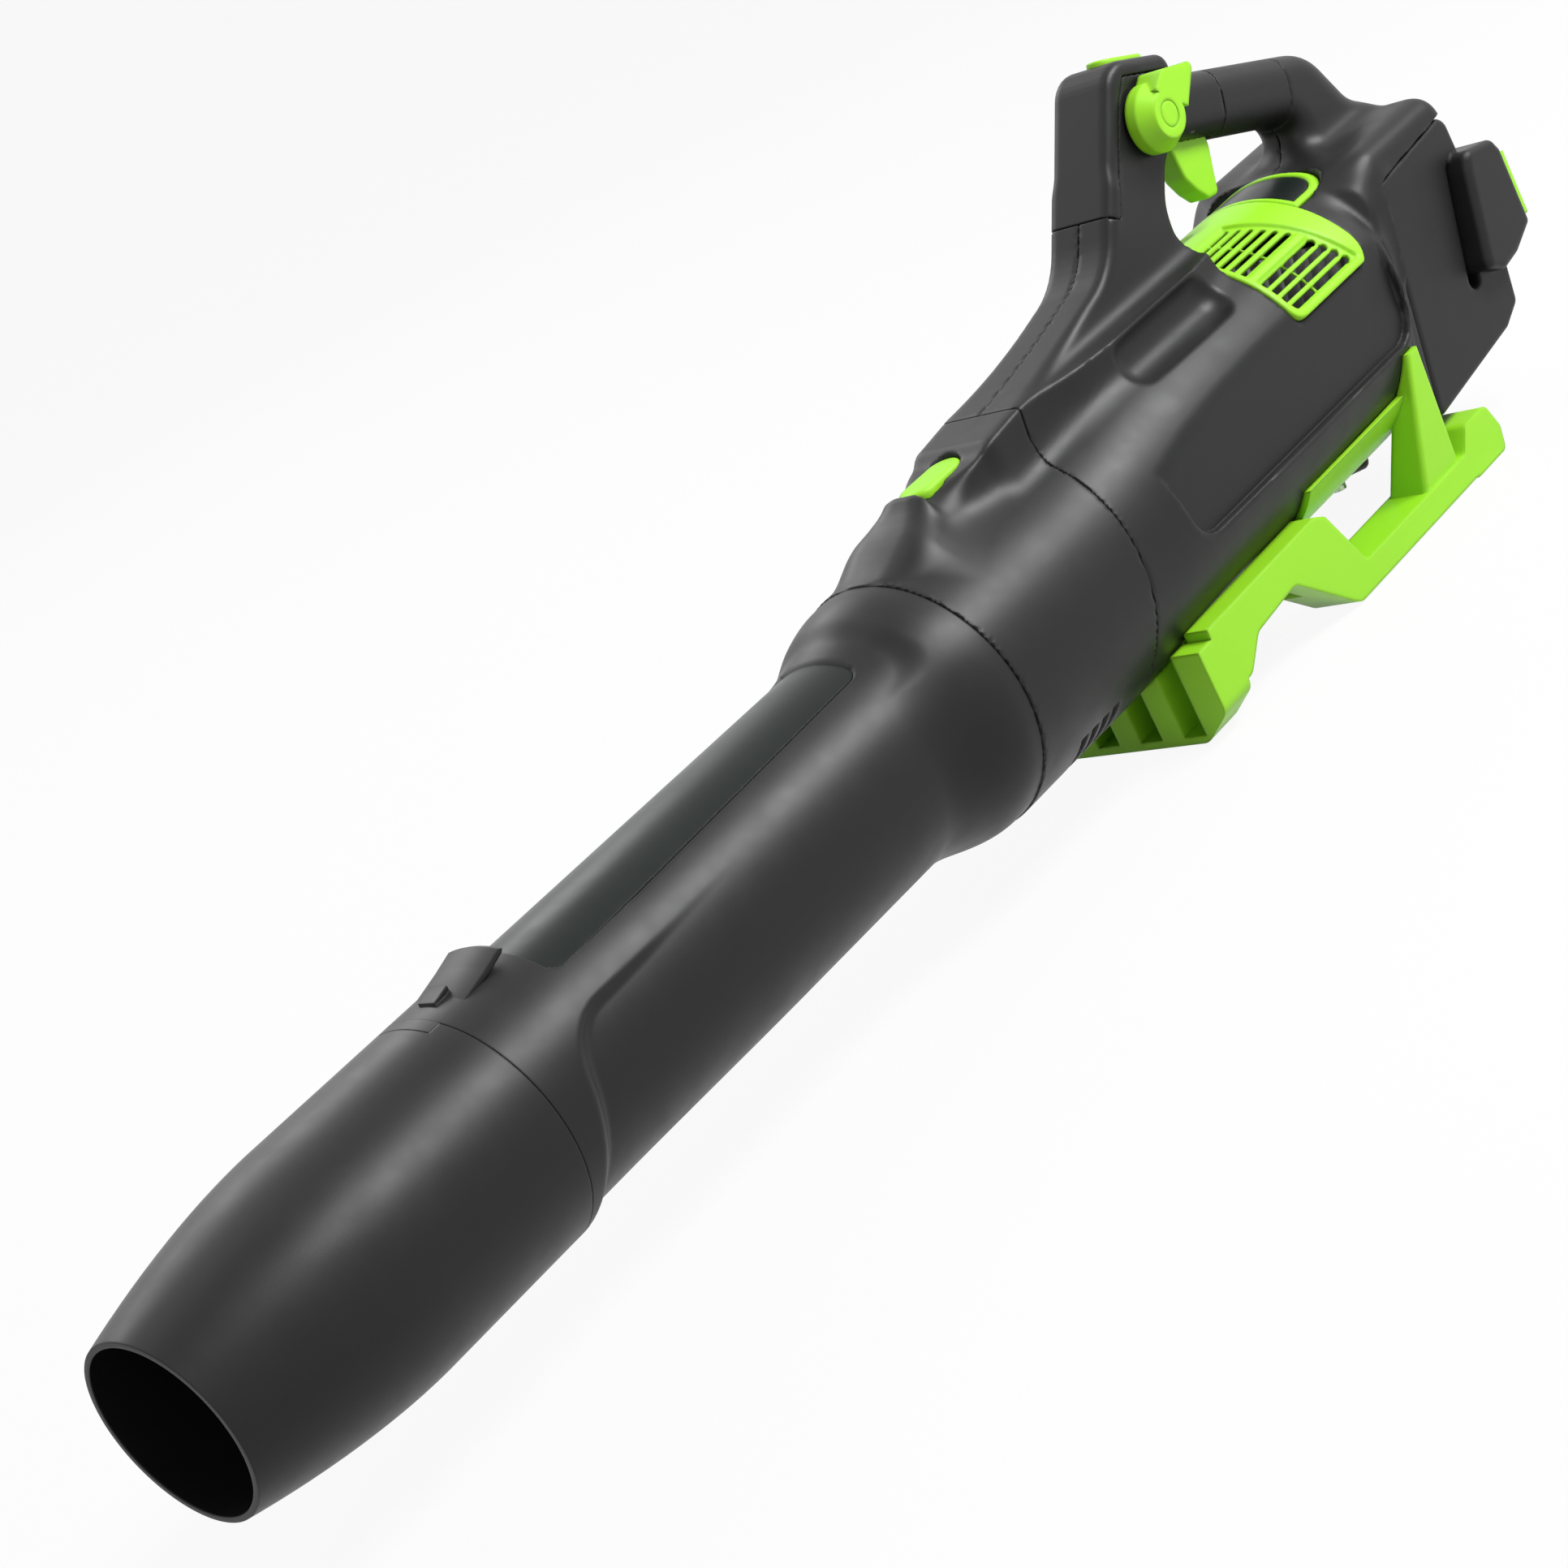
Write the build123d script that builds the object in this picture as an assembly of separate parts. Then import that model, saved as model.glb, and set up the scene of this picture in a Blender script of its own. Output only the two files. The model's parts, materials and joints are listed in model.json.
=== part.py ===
from build123d import *
import os
from math import cos, degrees, radians, sin, sqrt, tan

# Sizes are in millimetres and degrees. X runs rearward from the mouth of the nozzle,
# Y to the user's right and Z up from the axis of the tube.

# Nozzle and blower tube
NOZZLE_LENGTH = 173.0
MOUTH_R = 40.8
NOZZLE_R = 54.5
TAPER_LENGTH = 95.0
TAPER_POWER = 1.75
DUCT_WALL = 2.5
NOZZLE_OVERLAP = 60.0
TUBE_R = 51.2
TUBE_LENGTH = 308.0
TUBE_BAND = 20.0
TUBE_BAND_LEAN = 17.0
FLARE_LENGTH = 56.0
COLLAR_R = 63.3
COLLAR_WIDTH = 5.0
SPIGOT_R = 58.0
SPIGOT_LENGTH = 76.0
LATCH_WIDTH = 30.0
LATCH_REACH = 41.0
LATCH_ROOT = 6.0
LATCH_LIP = 6.0
PANEL_HALF_ANGLE = 38.0
PANEL_DEPTH = 0.8

# Housing
AXIS_HEIGHT = 92.0
RING_R = 64.0
RING_LENGTH = 101.0
SEAM_LEAN = 10.0
BODY_R = 69.0
BODY_RISE = 10.0
BODY_LENGTH = 270.0
HOUSING_WALL = 3.0
SIDE_FLAT = 62.0
SADDLE_TOP = 83.0
FAIRING_FRONT_TOP = 75.7
FAIRING_LIP = 4.8
SADDLE_HALF_WIDTH = 34.0
SCOOP_LENGTH = 73.0
RIM_DEPTH = 12.0
RIM_OVERLAP = 1.4
BARREL_EDGE = 8.0
HOOD_TOP = 78.0
HOOD_CORNER = 13.0

# Handle
POST_AHEAD = 155.0
POST_LEAN = 39.0
POST_DEPTH = 45.0
POST_WIDTH = 39.0
POST_FOOT_RISE = 104.0
HANDLE_TOP = 183.5
GRIP_SLOPE = 18.4
POST_CAP_LENGTH = 48.0
GRIP_STEP = 10.0
GRIP_HEIGHT = 33.5
GRIP_WIDTH = 32.0
GRIP_LENGTH = 118.0
GRIP_SKIN = 1.5
GRIP_CORE_WALL = 6.0
COVER_DEPTH = 8.0

# Controls
TRIGGER_WIDTH = 13.0
TRIGGER_SWEEP = 14.0
PIVOT_PIN_R = 2.5
DIAL_R = 17.0
DIAL_FACE_R = 11.5
DIAL_DEPTH = 13.5
DIAL_SHAFT_R = 4.0
TUBE_BUTTON_LENGTH = 38.0
TUBE_BUTTON_WIDTH = 18.0
TUBE_BUTTON_TRAVEL = 3.5
BOOST_LENGTH = 34.0
BOOST_WIDTH = 14.0
BOOST_TRAVEL = 2.0

# Intake grille and top window
GRILLE_AHEAD = 97.2
GRILLE_LENGTH = 73.0
GRILLE_HALF_ANGLE = 66.0
GRILLE_PROUD = 0.8
SLOT_WIDTH = 3.8
SLOT_PITCH = 5.0
WINDOW_LENGTH = 34.0
WINDOW_HALF_ANGLE = 29.0
TRIM_WIDTH = 4.0

# Fan and motor
DUCT_R = 52.0
FAN_TIP_GAP = 0.8
FAN_HUB_R = 27.0
FAN_LENGTH = 30.0
FAN_BLADES = 11
POD_R = 28.0
VANES = 9
SHAFT_R = 4.0
BEARING_R = 11.0
BEARING_WIDTH = 7.0
RUNNING_GAP = 0.06

# Battery
BATTERY_LEAN = 13.7
BATTERY_TILT = 4.5
BATTERY_WIDTH = 110.0
BATTERY_TOP = 59.0
BATTERY_DROP = 58.0
BATTERY_LENGTH = 88.0
BATTERY_WALL = 2.5
CELL_R = 9.0
CELL_LENGTH = 65.0
TERMINAL_HEIGHT = 10.0
BOSS_PROUD = 11.0
KEY_REACH = 25.0
KEY_TRAVEL = 3.0

# Stand
FOOT_HALF_WIDTH = 45.0
FOOT_LENGTH = 24.0
FOOT_POCKETS = 4
RUNNER_OUTER = 62.0
RUNNER_WIDTH = 26.0
RUNNER_HEIGHT = 14.0
HEEL_PAD = 1.0

# Clearances
SLIDE_GAP = 0.3
SEAT_GAP = 0.4
MOVE_GAP = 0.5
SCREW_R = 2.0
SCREW_HEAD_R = 3.8

# Stations along the tube's axis
tube_front = NOZZLE_LENGTH + SEAT_GAP
collar_x = tube_front + TUBE_LENGTH
spigot_end = collar_x + SPIGOT_LENGTH
ring_front = collar_x + SEAT_GAP
seam = ring_front + RING_LENGTH
body_top = BODY_RISE + BODY_R
bay_x = seam + BODY_LENGTH
grille_front = bay_x - GRILLE_AHEAD
grille_rear = grille_front + GRILLE_LENGTH
window_rear = grille_rear + WINDOW_LENGTH

# Handle points, seen from the side as (x, z)
lean = radians(POST_LEAN)
slope = radians(GRIP_SLOPE)
post_up = Vector(sin(lean), cos(lean))
post_back = Vector(cos(lean), -sin(lean))
grip_dir = Vector(cos(slope), -sin(slope))
grip_up = Vector(sin(slope), cos(slope))
post_foot = Vector(bay_x - POST_AHEAD, POST_FOOT_RISE)
post_top = post_foot + post_up * ((HANDLE_TOP - POST_FOOT_RISE) / cos(lean))
post_rear_foot = post_foot + post_back * POST_DEPTH
post_rear_top = post_top + grip_dir * POST_CAP_LENGTH
grip_top_front = post_rear_top - grip_up * GRIP_STEP
grip_top_rear = grip_top_front + grip_dir * GRIP_LENGTH
loop_rear = grip_top_rear - grip_up * GRIP_HEIGHT - grip_dir * 24
loop_front_x = grille_front + 1
dial_centre = post_foot + post_up * 80 + post_back * 27
trigger_pivot = grip_top_front - grip_up * (GRIP_HEIGHT - GRIP_CORE_WALL) + grip_dir * 10

# Battery directions, seen from the side
face_lean = radians(BATTERY_LEAN)
tilt = radians(BATTERY_TILT)
bay_plane = Plane(origin=(bay_x, 0, 0), x_dir=(0, 1, 0), z_dir=(cos(face_lean), 0, -sin(face_lean)))
seam_lean = radians(SEAM_LEAN)
seam_plane = Plane(origin=(seam, 0, 0), x_dir=(0, 1, 0), z_dir=(cos(seam_lean), 0, -sin(seam_lean)))


def bay_face_x(z, setback=0.0):
    """Where the leaning rear face of the housing is at a height."""
    return bay_x + z * tan(face_lean) - setback / cos(face_lean)


def overall_length():
    """From the mouth to the rear of the battery's latches."""
    return bay_face_x(0) + BATTERY_LENGTH + KEY_REACH


def side_face(points, radii=0.0):
    """A face in the XZ plane from (x, z) corners, with rounded corners."""
    corners = [(p[0], 0, p[1]) for p in points]
    return make_face(FilletPolyline(*corners, radius=radii, close=True))


def side_prism(points, half_width, radii=0.0, centre=0.0):
    """A side outline pushed out equally left and right of y = centre."""
    outline = side_face(points, radii)
    return Pos(0, centre, 0) * extrude(outline, half_width, dir=(0, 1, 0), both=True)


def turned(points):
    """A solid turned about the tube's axis from (x, radius) corners."""
    outline = make_face(Polyline(*[(x, 0, r) for x, r in points], close=True))
    return revolve(outline, Axis.X)


def pipe(x0, x1, r_in, r_out, rise=0.0):
    """A plain ring about a line along X at a height."""
    return Pos(0, 0, rise) * turned([(x0, r_in), (x0, r_out), (x1, r_out), (x1, r_in)])


def disc(x0, x1, r, rise=0.0):
    """A plain cylinder along X."""
    return Pos((x0 + x1) / 2, 0, rise) * Rot(0, 90, 0) * Cylinder(r, x1 - x0)


def cross_pin(x, z, r, y0, y1):
    """A plain cylinder along Y."""
    return Pos(x, (y0 + y1) / 2, z) * Rot(90, 0, 0) * Cylinder(r, y1 - y0)


def block(x0, x1, y0, y1, z0, z1):
    """A box from its limits."""
    return Pos((x0 + x1) / 2, (y0 + y1) / 2, (z0 + z1) / 2) * Box(x1 - x0, y1 - y0, z1 - z0)


def top_sector(x0, x1, r_in, r_out, half_angle, rise=BODY_RISE):
    """A piece of ring over the top of the body, out to an angle on each side."""
    reach = 3 * r_out
    side = reach * sin(radians(half_angle))
    height = reach * cos(radians(half_angle))
    corners = [(x0, 0, rise), (x0, side, rise + height), (x0, -side, rise + height)]
    wedge = make_face(Polyline(*corners, close=True))
    return pipe(x0, x1, r_in, r_out, rise) & extrude(wedge, x1 - x0, dir=(1, 0, 0))


def mirrored(shape):
    """The same piece on the other side of the object."""
    return mirror(shape, Plane.XZ)


def both_sides(shape):
    """A piece and its mirror image."""
    return shape + mirrored(shape)


# Nozzle
def taper_r(x):
    """The nozzle's outside radius at a distance from the mouth."""
    if x >= TAPER_LENGTH:
        return NOZZLE_R
    return NOZZLE_R - (NOZZLE_R - MOUTH_R) * (1 - x / TAPER_LENGTH) ** TAPER_POWER


def taper_edge(offset):
    """The curved part of the nozzle's wall, as an edge."""
    stations = [TAPER_LENGTH * share for share in (0, 0.15, 0.35, 0.6, 0.8, 1)]
    points = [(x, 0, taper_r(x) - offset) for x in stations]
    return Spline(*points)


def latch_cut(margin, low):
    """The slot that the latch tongue lies in, down to a radius."""
    half = LATCH_WIDTH / 2 + margin
    x0 = NOZZLE_LENGTH - LATCH_ROOT - margin
    x1 = NOZZLE_LENGTH + 2 * LATCH_REACH
    return block(x0, x1, -half, half, 0, 2 * NOZZLE_R) - disc(x0 - 1, x1 + 1, low)


def nozzle():
    outer = taper_edge(0)
    inner = taper_edge(DUCT_WALL)
    rear_r = NOZZLE_R
    edges = [
        outer,
        Line(outer @ 1, (NOZZLE_LENGTH, 0, rear_r)),
        Line((NOZZLE_LENGTH, 0, rear_r), (NOZZLE_LENGTH, 0, rear_r - DUCT_WALL)),
        Line((NOZZLE_LENGTH, 0, rear_r - DUCT_WALL), inner @ 1),
        inner,
        Line(inner @ 0, outer @ 0),
    ]
    shell = revolve(make_face(edges), Axis.X)
    return shell - latch_cut(SLIDE_GAP, 0.5 * NOZZLE_R)


def nozzle_latch():
    """A springy tongue with a turned-up end and a raised catch."""
    root_x = NOZZLE_LENGTH - LATCH_ROOT
    tip_x = NOZZLE_LENGTH + LATCH_REACH
    low = NOZZLE_R - DUCT_WALL + SLIDE_GAP
    bend_x = tip_x - 26
    outline = [
        (root_x, low),
        (bend_x, low),
        (tip_x - 9, low + 0.55 * LATCH_LIP),
        (tip_x, low + LATCH_LIP),
        (tip_x + 1, NOZZLE_R + LATCH_LIP - 1),
        (tip_x - 1, NOZZLE_R + LATCH_LIP),
        (tip_x - 11, NOZZLE_R + 0.55 * LATCH_LIP),
        (bend_x, NOZZLE_R),
        (root_x, NOZZLE_R),
    ]
    tongue = turned(outline) & latch_cut(0, 0.5 * NOZZLE_R)
    catch_x = NOZZLE_LENGTH + 0.35 * LATCH_REACH
    front, rear = catch_x - 5, catch_x + 4
    points = [(front, low + 1), (front, NOZZLE_R + 1), (rear, NOZZLE_R + 3), (rear, low + 1)]
    return tongue + side_prism(points, 5)


# Blower tube
def tube_profile():
    """The tube's wall, from its front spigot to its rear spigot."""
    bore = TUBE_R - DUCT_WALL
    front_r = NOZZLE_R - DUCT_WALL - SLIDE_GAP
    front_x = NOZZLE_LENGTH - NOZZLE_OVERLAP
    flare_x = collar_x - FLARE_LENGTH
    rim_x = collar_x - COLLAR_WIDTH
    level = (1, 0, 0)
    flare = Spline((flare_x, 0, TUBE_R), (rim_x, 0, COLLAR_R), tangents=(level, level))
    inner_r = SPIGOT_R - DUCT_WALL
    inner_flare = Spline((flare_x, 0, bore), (rim_x, 0, inner_r), tangents=(level, level))
    outside = Polyline((front_x, 0, bore), (front_x, 0, front_r), (tube_front, 0, front_r),
                       (tube_front, 0, TUBE_R), (flare_x, 0, TUBE_R))
    rear = Polyline((rim_x, 0, COLLAR_R), (collar_x, 0, COLLAR_R), (collar_x, 0, SPIGOT_R),
                    (spigot_end, 0, SPIGOT_R), (spigot_end, 0, inner_r), (rim_x, 0, inner_r))
    bore_line = Line((flare_x, 0, bore), (front_x, 0, bore))
    return make_face([outside, flare, rear, inner_flare, bore_line])


def tube_band():
    """The raised band behind the nozzle, with a leaning rear edge and a bed for the latch."""
    x1 = tube_front + 2 * TUBE_BAND
    band = pipe(tube_front, x1, TUBE_R - 1, NOZZLE_R)
    lean_back = radians(TUBE_BAND_LEAN)
    normal = (cos(lean_back), 0, -sin(lean_back))
    edge = Plane(origin=(tube_front + TUBE_BAND, 0, 0), x_dir=(0, 1, 0), z_dir=normal)
    band = band - extrude(edge * Rectangle(300, 300), 200)
    return band - latch_cut(MOVE_GAP, TUBE_R + 0.5)


def tube_panel_zone():
    """The shallow bed of the panel along the top of the tube."""
    x0 = tube_front + TUBE_BAND + TUBE_R * tan(radians(TUBE_BAND_LEAN)) + 2
    x1 = collar_x - FLARE_LENGTH - 4
    half = TUBE_R * sin(radians(PANEL_HALF_ANGLE))
    plan = Pos((x0 + x1) / 2, 0, 0) * RectangleRounded(x1 - x0, 2 * half, 12)
    prism = extrude(plan, 2 * TUBE_R)
    return prism & pipe(x0 - 10, x1 + 10, TUBE_R - PANEL_DEPTH, TUBE_R + 5)


def blower_tube():
    return revolve(tube_profile(), Axis.X) + tube_band() - tube_panel_zone()


def tube_panel():
    return tube_panel_zone() & disc(0, collar_x, TUBE_R - 0.15)


def tube_seal():
    """A soft ring in the mouth of the front ring."""
    return pipe(ring_front + 12, ring_front + 16, SPIGOT_R + SLIDE_GAP, SPIGOT_R + 2.5)


# Outer forms of the housing
def body_form(shrink=0.0):
    """The round body, which swells and rises behind the front ring."""
    stations = [
        (seam, RING_R, 0.0),
        (seam + 0.25 * BODY_LENGTH, RING_R + 0.7 * (BODY_R - RING_R), 0.7 * BODY_RISE),
        (seam + 0.65 * BODY_LENGTH, BODY_R, BODY_RISE),
        (seam + 0.93 * BODY_LENGTH, BODY_R - 1.5, BODY_RISE + 1),
        (seam + 1.08 * BODY_LENGTH, BODY_R - 4.5, BODY_RISE + 2),
    ]
    rings = [Pos(x, 0, z) * Rot(0, 90, 0) * Circle(r - shrink) for x, r, z in stations]
    return loft(rings)


def in_front_of_bay(setback):
    """Everything ahead of the leaning face that the battery meets."""
    room = bay_plane.offset(-setback)
    return extrude(room * Rectangle(600, 600), -600)


def ahead_of_seam(setback=0.0):
    """Everything in front of the leaning joint between the front ring and the body."""
    return extrude(seam_plane.offset(-setback) * Rectangle(600, 600), -600)


def round_form(shrink=0.0):
    """The plain ring and the body behind it, as one outside form."""
    return disc(ring_front, seam, RING_R - shrink) + body_form(shrink)


def saddle():
    """The flat-topped fairing along the top, from the tube button to the grille."""
    front_x = ring_front + 3
    lip_x = seam - 54
    level_x = seam + 17
    rear_x = grille_front
    lip_z = FAIRING_FRONT_TOP + FAIRING_LIP
    start_z = RING_R - 0.5
    swoop = TangentArc((front_x, 0, start_z), (lip_x, 0, lip_z), tangent=(1, 0, 0))
    rest = Polyline((lip_x, 0, lip_z), (lip_x + 3, 0, lip_z), (lip_x + 5, 0, FAIRING_FRONT_TOP),
                    (level_x, 0, SADDLE_TOP), (rear_x, 0, SADDLE_TOP), (rear_x, 0, 40), (front_x, 0, 40),
                    (front_x, 0, start_z))
    side = extrude(make_face([swoop, rest]), 80, dir=(0, 1, 0), both=True)
    near = POST_WIDTH / 2
    wide = SADDLE_HALF_WIDTH
    half = [(front_x, 3), (lip_x, near - 13), (lip_x + 3, near - 8), (lip_x + 10, near - 3), (lip_x + 22, near),
            (level_x, near + 2.5), (seam + 57, wide - 4), (rear_x, wide)]
    plan = half + [(x, -y) for x, y in reversed(half)]
    above = extrude(make_face(Polyline(*plan, close=True)), 200)
    return side & above


def post_form():
    """The leaning post at the front of the handle and the ridge that leads up to it."""
    ridge_x = seam - 8
    ridge_z = FAIRING_FRONT_TOP + (SADDLE_TOP - FAIRING_FRONT_TOP) * 0.65
    rear_low = post_rear_foot + post_up * ((loop_front_x - post_rear_foot.X) / sin(lean))
    points = [
        (ridge_x, 40),
        (ridge_x, ridge_z - 1),
        (seam + 17, SADDLE_TOP - 0.5),
        (post_foot.X, post_foot.Y),
        (post_top.X, post_top.Y),
        (post_rear_top.X, post_rear_top.Y),
        (rear_low.X, rear_low.Y),
        (loop_front_x, 40),
    ]
    solid = side_prism(points, POST_WIDTH / 2, [0, 0, 40, 45, 17, 6, 30, 0])
    ends = solid.faces().sort_by(Axis.Y)
    return fillet(ends[0].edges() + ends[-1].edges(), 8)


def grip_form(skin=0.0):
    """The grip and the leg that carries its rear end."""
    top_front = grip_top_front - grip_dir * 25 - grip_up * skin
    top_rear = grip_top_rear - grip_up * skin
    low_front = top_front - grip_up * (GRIP_HEIGHT - 2 * skin)
    low_rear = loop_rear + grip_up * skin
    points = [
        (top_front.X, top_front.Y),
        (top_rear.X, top_rear.Y),
        (top_rear.X + 31, body_top - 14),
        (top_rear.X + 31, 45),
        (low_rear.X - 6, 45),
        (low_rear.X - 5, body_top - 3),
        (low_rear.X, low_rear.Y),
        (low_front.X, low_front.Y),
    ]
    solid = side_prism(points, GRIP_WIDTH / 2 - skin, [0, 30, 0, 0, 0, 0, 7, 0])
    ends = solid.faces().sort_by(Axis.Y)
    return fillet(ends[0].edges() + ends[-1].edges(), 12.5 - skin)


def grip_zone():
    """The stretch of the grip that the soft sleeve covers."""
    start = grip_top_front + grip_dir * 36
    length = GRIP_LENGTH - 63
    middle = start + grip_dir * (length / 2)
    place = Pos(middle.X, 0, middle.Y) * Rot(0, GRIP_SLOPE, 0)
    return place * Pos(0, 0, -GRIP_HEIGHT / 2) * Box(length, 3 * GRIP_WIDTH, 1.6 * GRIP_HEIGHT)


def hood():
    """The flat-topped cover over the battery, with a front that slopes and narrows into the body."""
    half = BATTERY_WIDTH / 2 + 1
    x0 = bay_x - 21
    x1 = bay_x + BATTERY_LENGTH + 1
    corners = [(x0, -half, 20), (x0, half, 20), (x0, half, HOOD_TOP), (x0, -half, HOOD_TOP)]
    section = make_face(FilletPolyline(*corners, radius=[0, 0, HOOD_CORNER, HOOD_CORNER], close=True))
    solid = extrude(section, x1 - x0, dir=(1, 0, 0))
    rear = solid.faces().sort_by(Axis.X)[-1]
    solid = fillet(rear.edges().group_by(Axis.Z)[-1], 9)
    low_z = HOOD_TOP - 24
    slope_side = [(x0, 10), (x0, low_z), (x0 + 34, low_z + 34), (x1 + 10, low_z + 34), (x1 + 10, 10)]
    wide = half + 10
    plan = [(x0, -18), (x0 + 8, -18), (x0 + 27, -half), (x0 + 27, -wide), (x1 + 10, -wide)]
    plan = plan + [(x, -y) for x, y in reversed(plan)]
    above = extrude(make_face(Polyline(*plan, close=True)), 2 * HOOD_TOP)
    return solid & side_prism(slope_side, 2 * half) & above


def rim_section(inset=0.0):
    """The outline of the rim, on the leaning rear face."""
    width = BATTERY_WIDTH + 2 - 2 * inset
    height = BATTERY_TOP + BATTERY_DROP - 2 * inset
    return Pos(0, (BATTERY_TOP - BATTERY_DROP) / 2, 0) * RectangleRounded(width, height, 14 - inset)


def barrel():
    """The ring and the body up to their rounded end in front of the rim."""
    whole = round_form() & in_front_of_bay(RIM_DEPTH)
    end = whole.faces().sort_by(Axis((0, 0, 0), bay_plane.z_dir))[-1]
    return fillet(end.edges(), BARREL_EDGE)


def bay_frame():
    """The rim that carries the round body over to the square battery."""
    return extrude(bay_plane.offset(-SEAT_GAP) * rim_section(), -RIM_DEPTH - RIM_OVERLAP + SEAT_GAP)


def battery_room():
    """The space that the battery takes up and slides out of, with its clearance."""
    grow = MOVE_GAP
    front_low = bay_face_x(-200) - 1
    front_top = bay_face_x(BATTERY_TOP + grow)
    reach = 200
    points = [
        (front_low, -200),
        (front_top, BATTERY_TOP + grow),
        (front_top + reach, BATTERY_TOP + grow + reach * tan(tilt)),
        (front_top + reach, -200),
    ]
    return side_prism(points, 120)


def keel():
    """A small block under the rear of the body."""
    x1 = bay_face_x(-BATTERY_DROP, 6)
    return side_prism([(x1 - 34, -20), (x1, -20), (x1 - 2, -72), (x1 - 26, -66)], 11, [0, 0, 4, 6])


def scoop(grow=0.0):
    """The long shallow hollow in the shoulder, on the user's left."""
    r = 15 + grow
    y = -48.5
    z = BODY_RISE + 63
    x1 = grille_front - 16
    x0 = x1 - SCOOP_LENGTH
    rod = Pos(0, y, z) * disc(x0, x1, r)
    return rod + Pos(x0, y, z) * Sphere(r) + Pos(x1, y, z) * Sphere(r)


def side_recess():
    """The flat panel sunk into the user's left side of the body."""
    x0 = seam + 43
    x1 = bay_x - 19
    points = [(x0, BODY_RISE - 18), (x1, BODY_RISE - 18), (x1 + 10, 90), (x0 - 10, 90)]
    return side_prism(points, 30, [16, 16, 0, 0], centre=-SIDE_FLAT - 30)


def vent_slots():
    """Slots round the underside of the front ring."""
    slots = []
    for i in range(4):
        x = ring_front + 34 + 9 * i
        ring = pipe(x, x + 4.5, RING_R - 3.5, RING_R + 5)
        slots.append(ring & block(x - 1, x + 6, -48, 48, -2 * RING_R, 0))
    return Part() + slots


# Holes that the controls sit in
def tube_button_plan(grow=0.0):
    """The outline of the tube button, seen from above."""
    return Pos(seam - 32, 0) * SlotOverall(TUBE_BUTTON_LENGTH + 2 * grow, TUBE_BUTTON_WIDTH + 2 * grow)


button_floor = RING_R - 2.0
button_spring = TUBE_BUTTON_TRAVEL + 4.5


def tube_button_pocket():
    return Pos(0, 0, button_floor) * extrude(tube_button_plan(SLIDE_GAP), 40)


def on_post_top(along, depth=0.0):
    """A place on the sloping top of the post, measured back from its front corner."""
    spot = post_top + grip_dir * along - grip_up * depth
    return Pos(spot.X, 0, spot.Y) * Rot(0, GRIP_SLOPE, 0)


boost_along = 27.0
boost_proud = 2.6
boost_depth = 5.0


def boost_pocket():
    plan = SlotOverall(BOOST_LENGTH + 2 * SLIDE_GAP, BOOST_WIDTH + 2 * SLIDE_GAP)
    return on_post_top(boost_along, COVER_DEPTH + 4) * extrude(plan, 40)


def post_cavity():
    """The hollow in the post, which holds the lever's sensor and the wires."""
    low = post_foot + post_back * (POST_DEPTH / 2) - post_up * 45
    high = post_top + grip_dir * (POST_CAP_LENGTH / 2) - grip_up * (COVER_DEPTH + 10)
    front = post_back * (POST_DEPTH / 2 - COVER_DEPTH - 3)
    back = post_back * (POST_DEPTH / 2 - HOUSING_WALL - 1.5)
    points = [low - front, high - front, high + back, low + back]
    return side_prism([(p.X, p.Y) for p in points], POST_WIDTH / 2 - 9)


def along_grip(start, end, top, bottom, half_width):
    """A block lying along the grip, measured back from its front and down from its top."""
    corners = [grip_top_front + grip_dir * a - grip_up * d for a, d in
               ((start, top), (end, top), (end, bottom), (start, bottom))]
    return side_prism([(p.X, p.Y) for p in corners], half_width)


def grip_cavity():
    """The hollow in the front of the grip, which holds the trigger's switch."""
    wall = GRIP_CORE_WALL
    return along_grip(4, 64, wall, GRIP_HEIGHT - wall, GRIP_WIDTH / 2 - wall)


def trigger_slot():
    """The opening under the grip that the trigger swings in."""
    end = 20 + TRIGGER_SWEEP
    return along_grip(-10, end, GRIP_CORE_WALL + 8, GRIP_HEIGHT + 20, TRIGGER_WIDTH / 2 + MOVE_GAP)


def dial_recess():
    """A round seat for the lever on the left of the post, with its shaft's hole."""
    wall_y = -POST_WIDTH / 2
    seat = cross_pin(dial_centre.X, dial_centre.Y, DIAL_R + 1.5, wall_y - 5, wall_y + 1.5)
    return seat + cross_pin(dial_centre.X, dial_centre.Y, DIAL_SHAFT_R + RUNNING_GAP, wall_y - 1, -2)


def cover_zone():
    """The strip along the front and top of the post that its cover takes up."""
    low = post_foot + post_up * 27
    out = post_back * 30
    inner_low = low + post_back * COVER_DEPTH
    corner = post_top + post_back * COVER_DEPTH
    inner_top = post_top + grip_dir * COVER_DEPTH - grip_up * COVER_DEPTH
    inner_rear = post_rear_top - grip_up * COVER_DEPTH - grip_dir * 4
    outer_rear = post_rear_top + grip_up * 20 - grip_dir * 4
    outer_front = post_top - out + grip_up * 20
    points = [low - out, inner_low, inner_low + (corner - inner_low) * 0.75, inner_top, inner_rear, outer_rear,
              outer_front]
    return side_prism([(p.X, p.Y) for p in points], POST_WIDTH)


# Screw places as (x, z), put in from the user's right
def screw_places():
    leg = loop_rear + grip_dir * 30 - grip_up * 14
    ridge = Vector(post_foot.X - 45, SADDLE_TOP - 6)
    post_low = post_foot + post_back * (POST_DEPTH - 12) - post_up * 12
    return [ridge, post_low, leg]


def housing_screw(place):
    """One screw along Y, with its head on the right."""
    head_y = GRIP_WIDTH / 2 - 4
    shank = cross_pin(place.X, place.Y, SCREW_R, -8, head_y)
    return shank + cross_pin(place.X, place.Y, SCREW_HEAD_R, head_y, head_y + 3)


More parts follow.
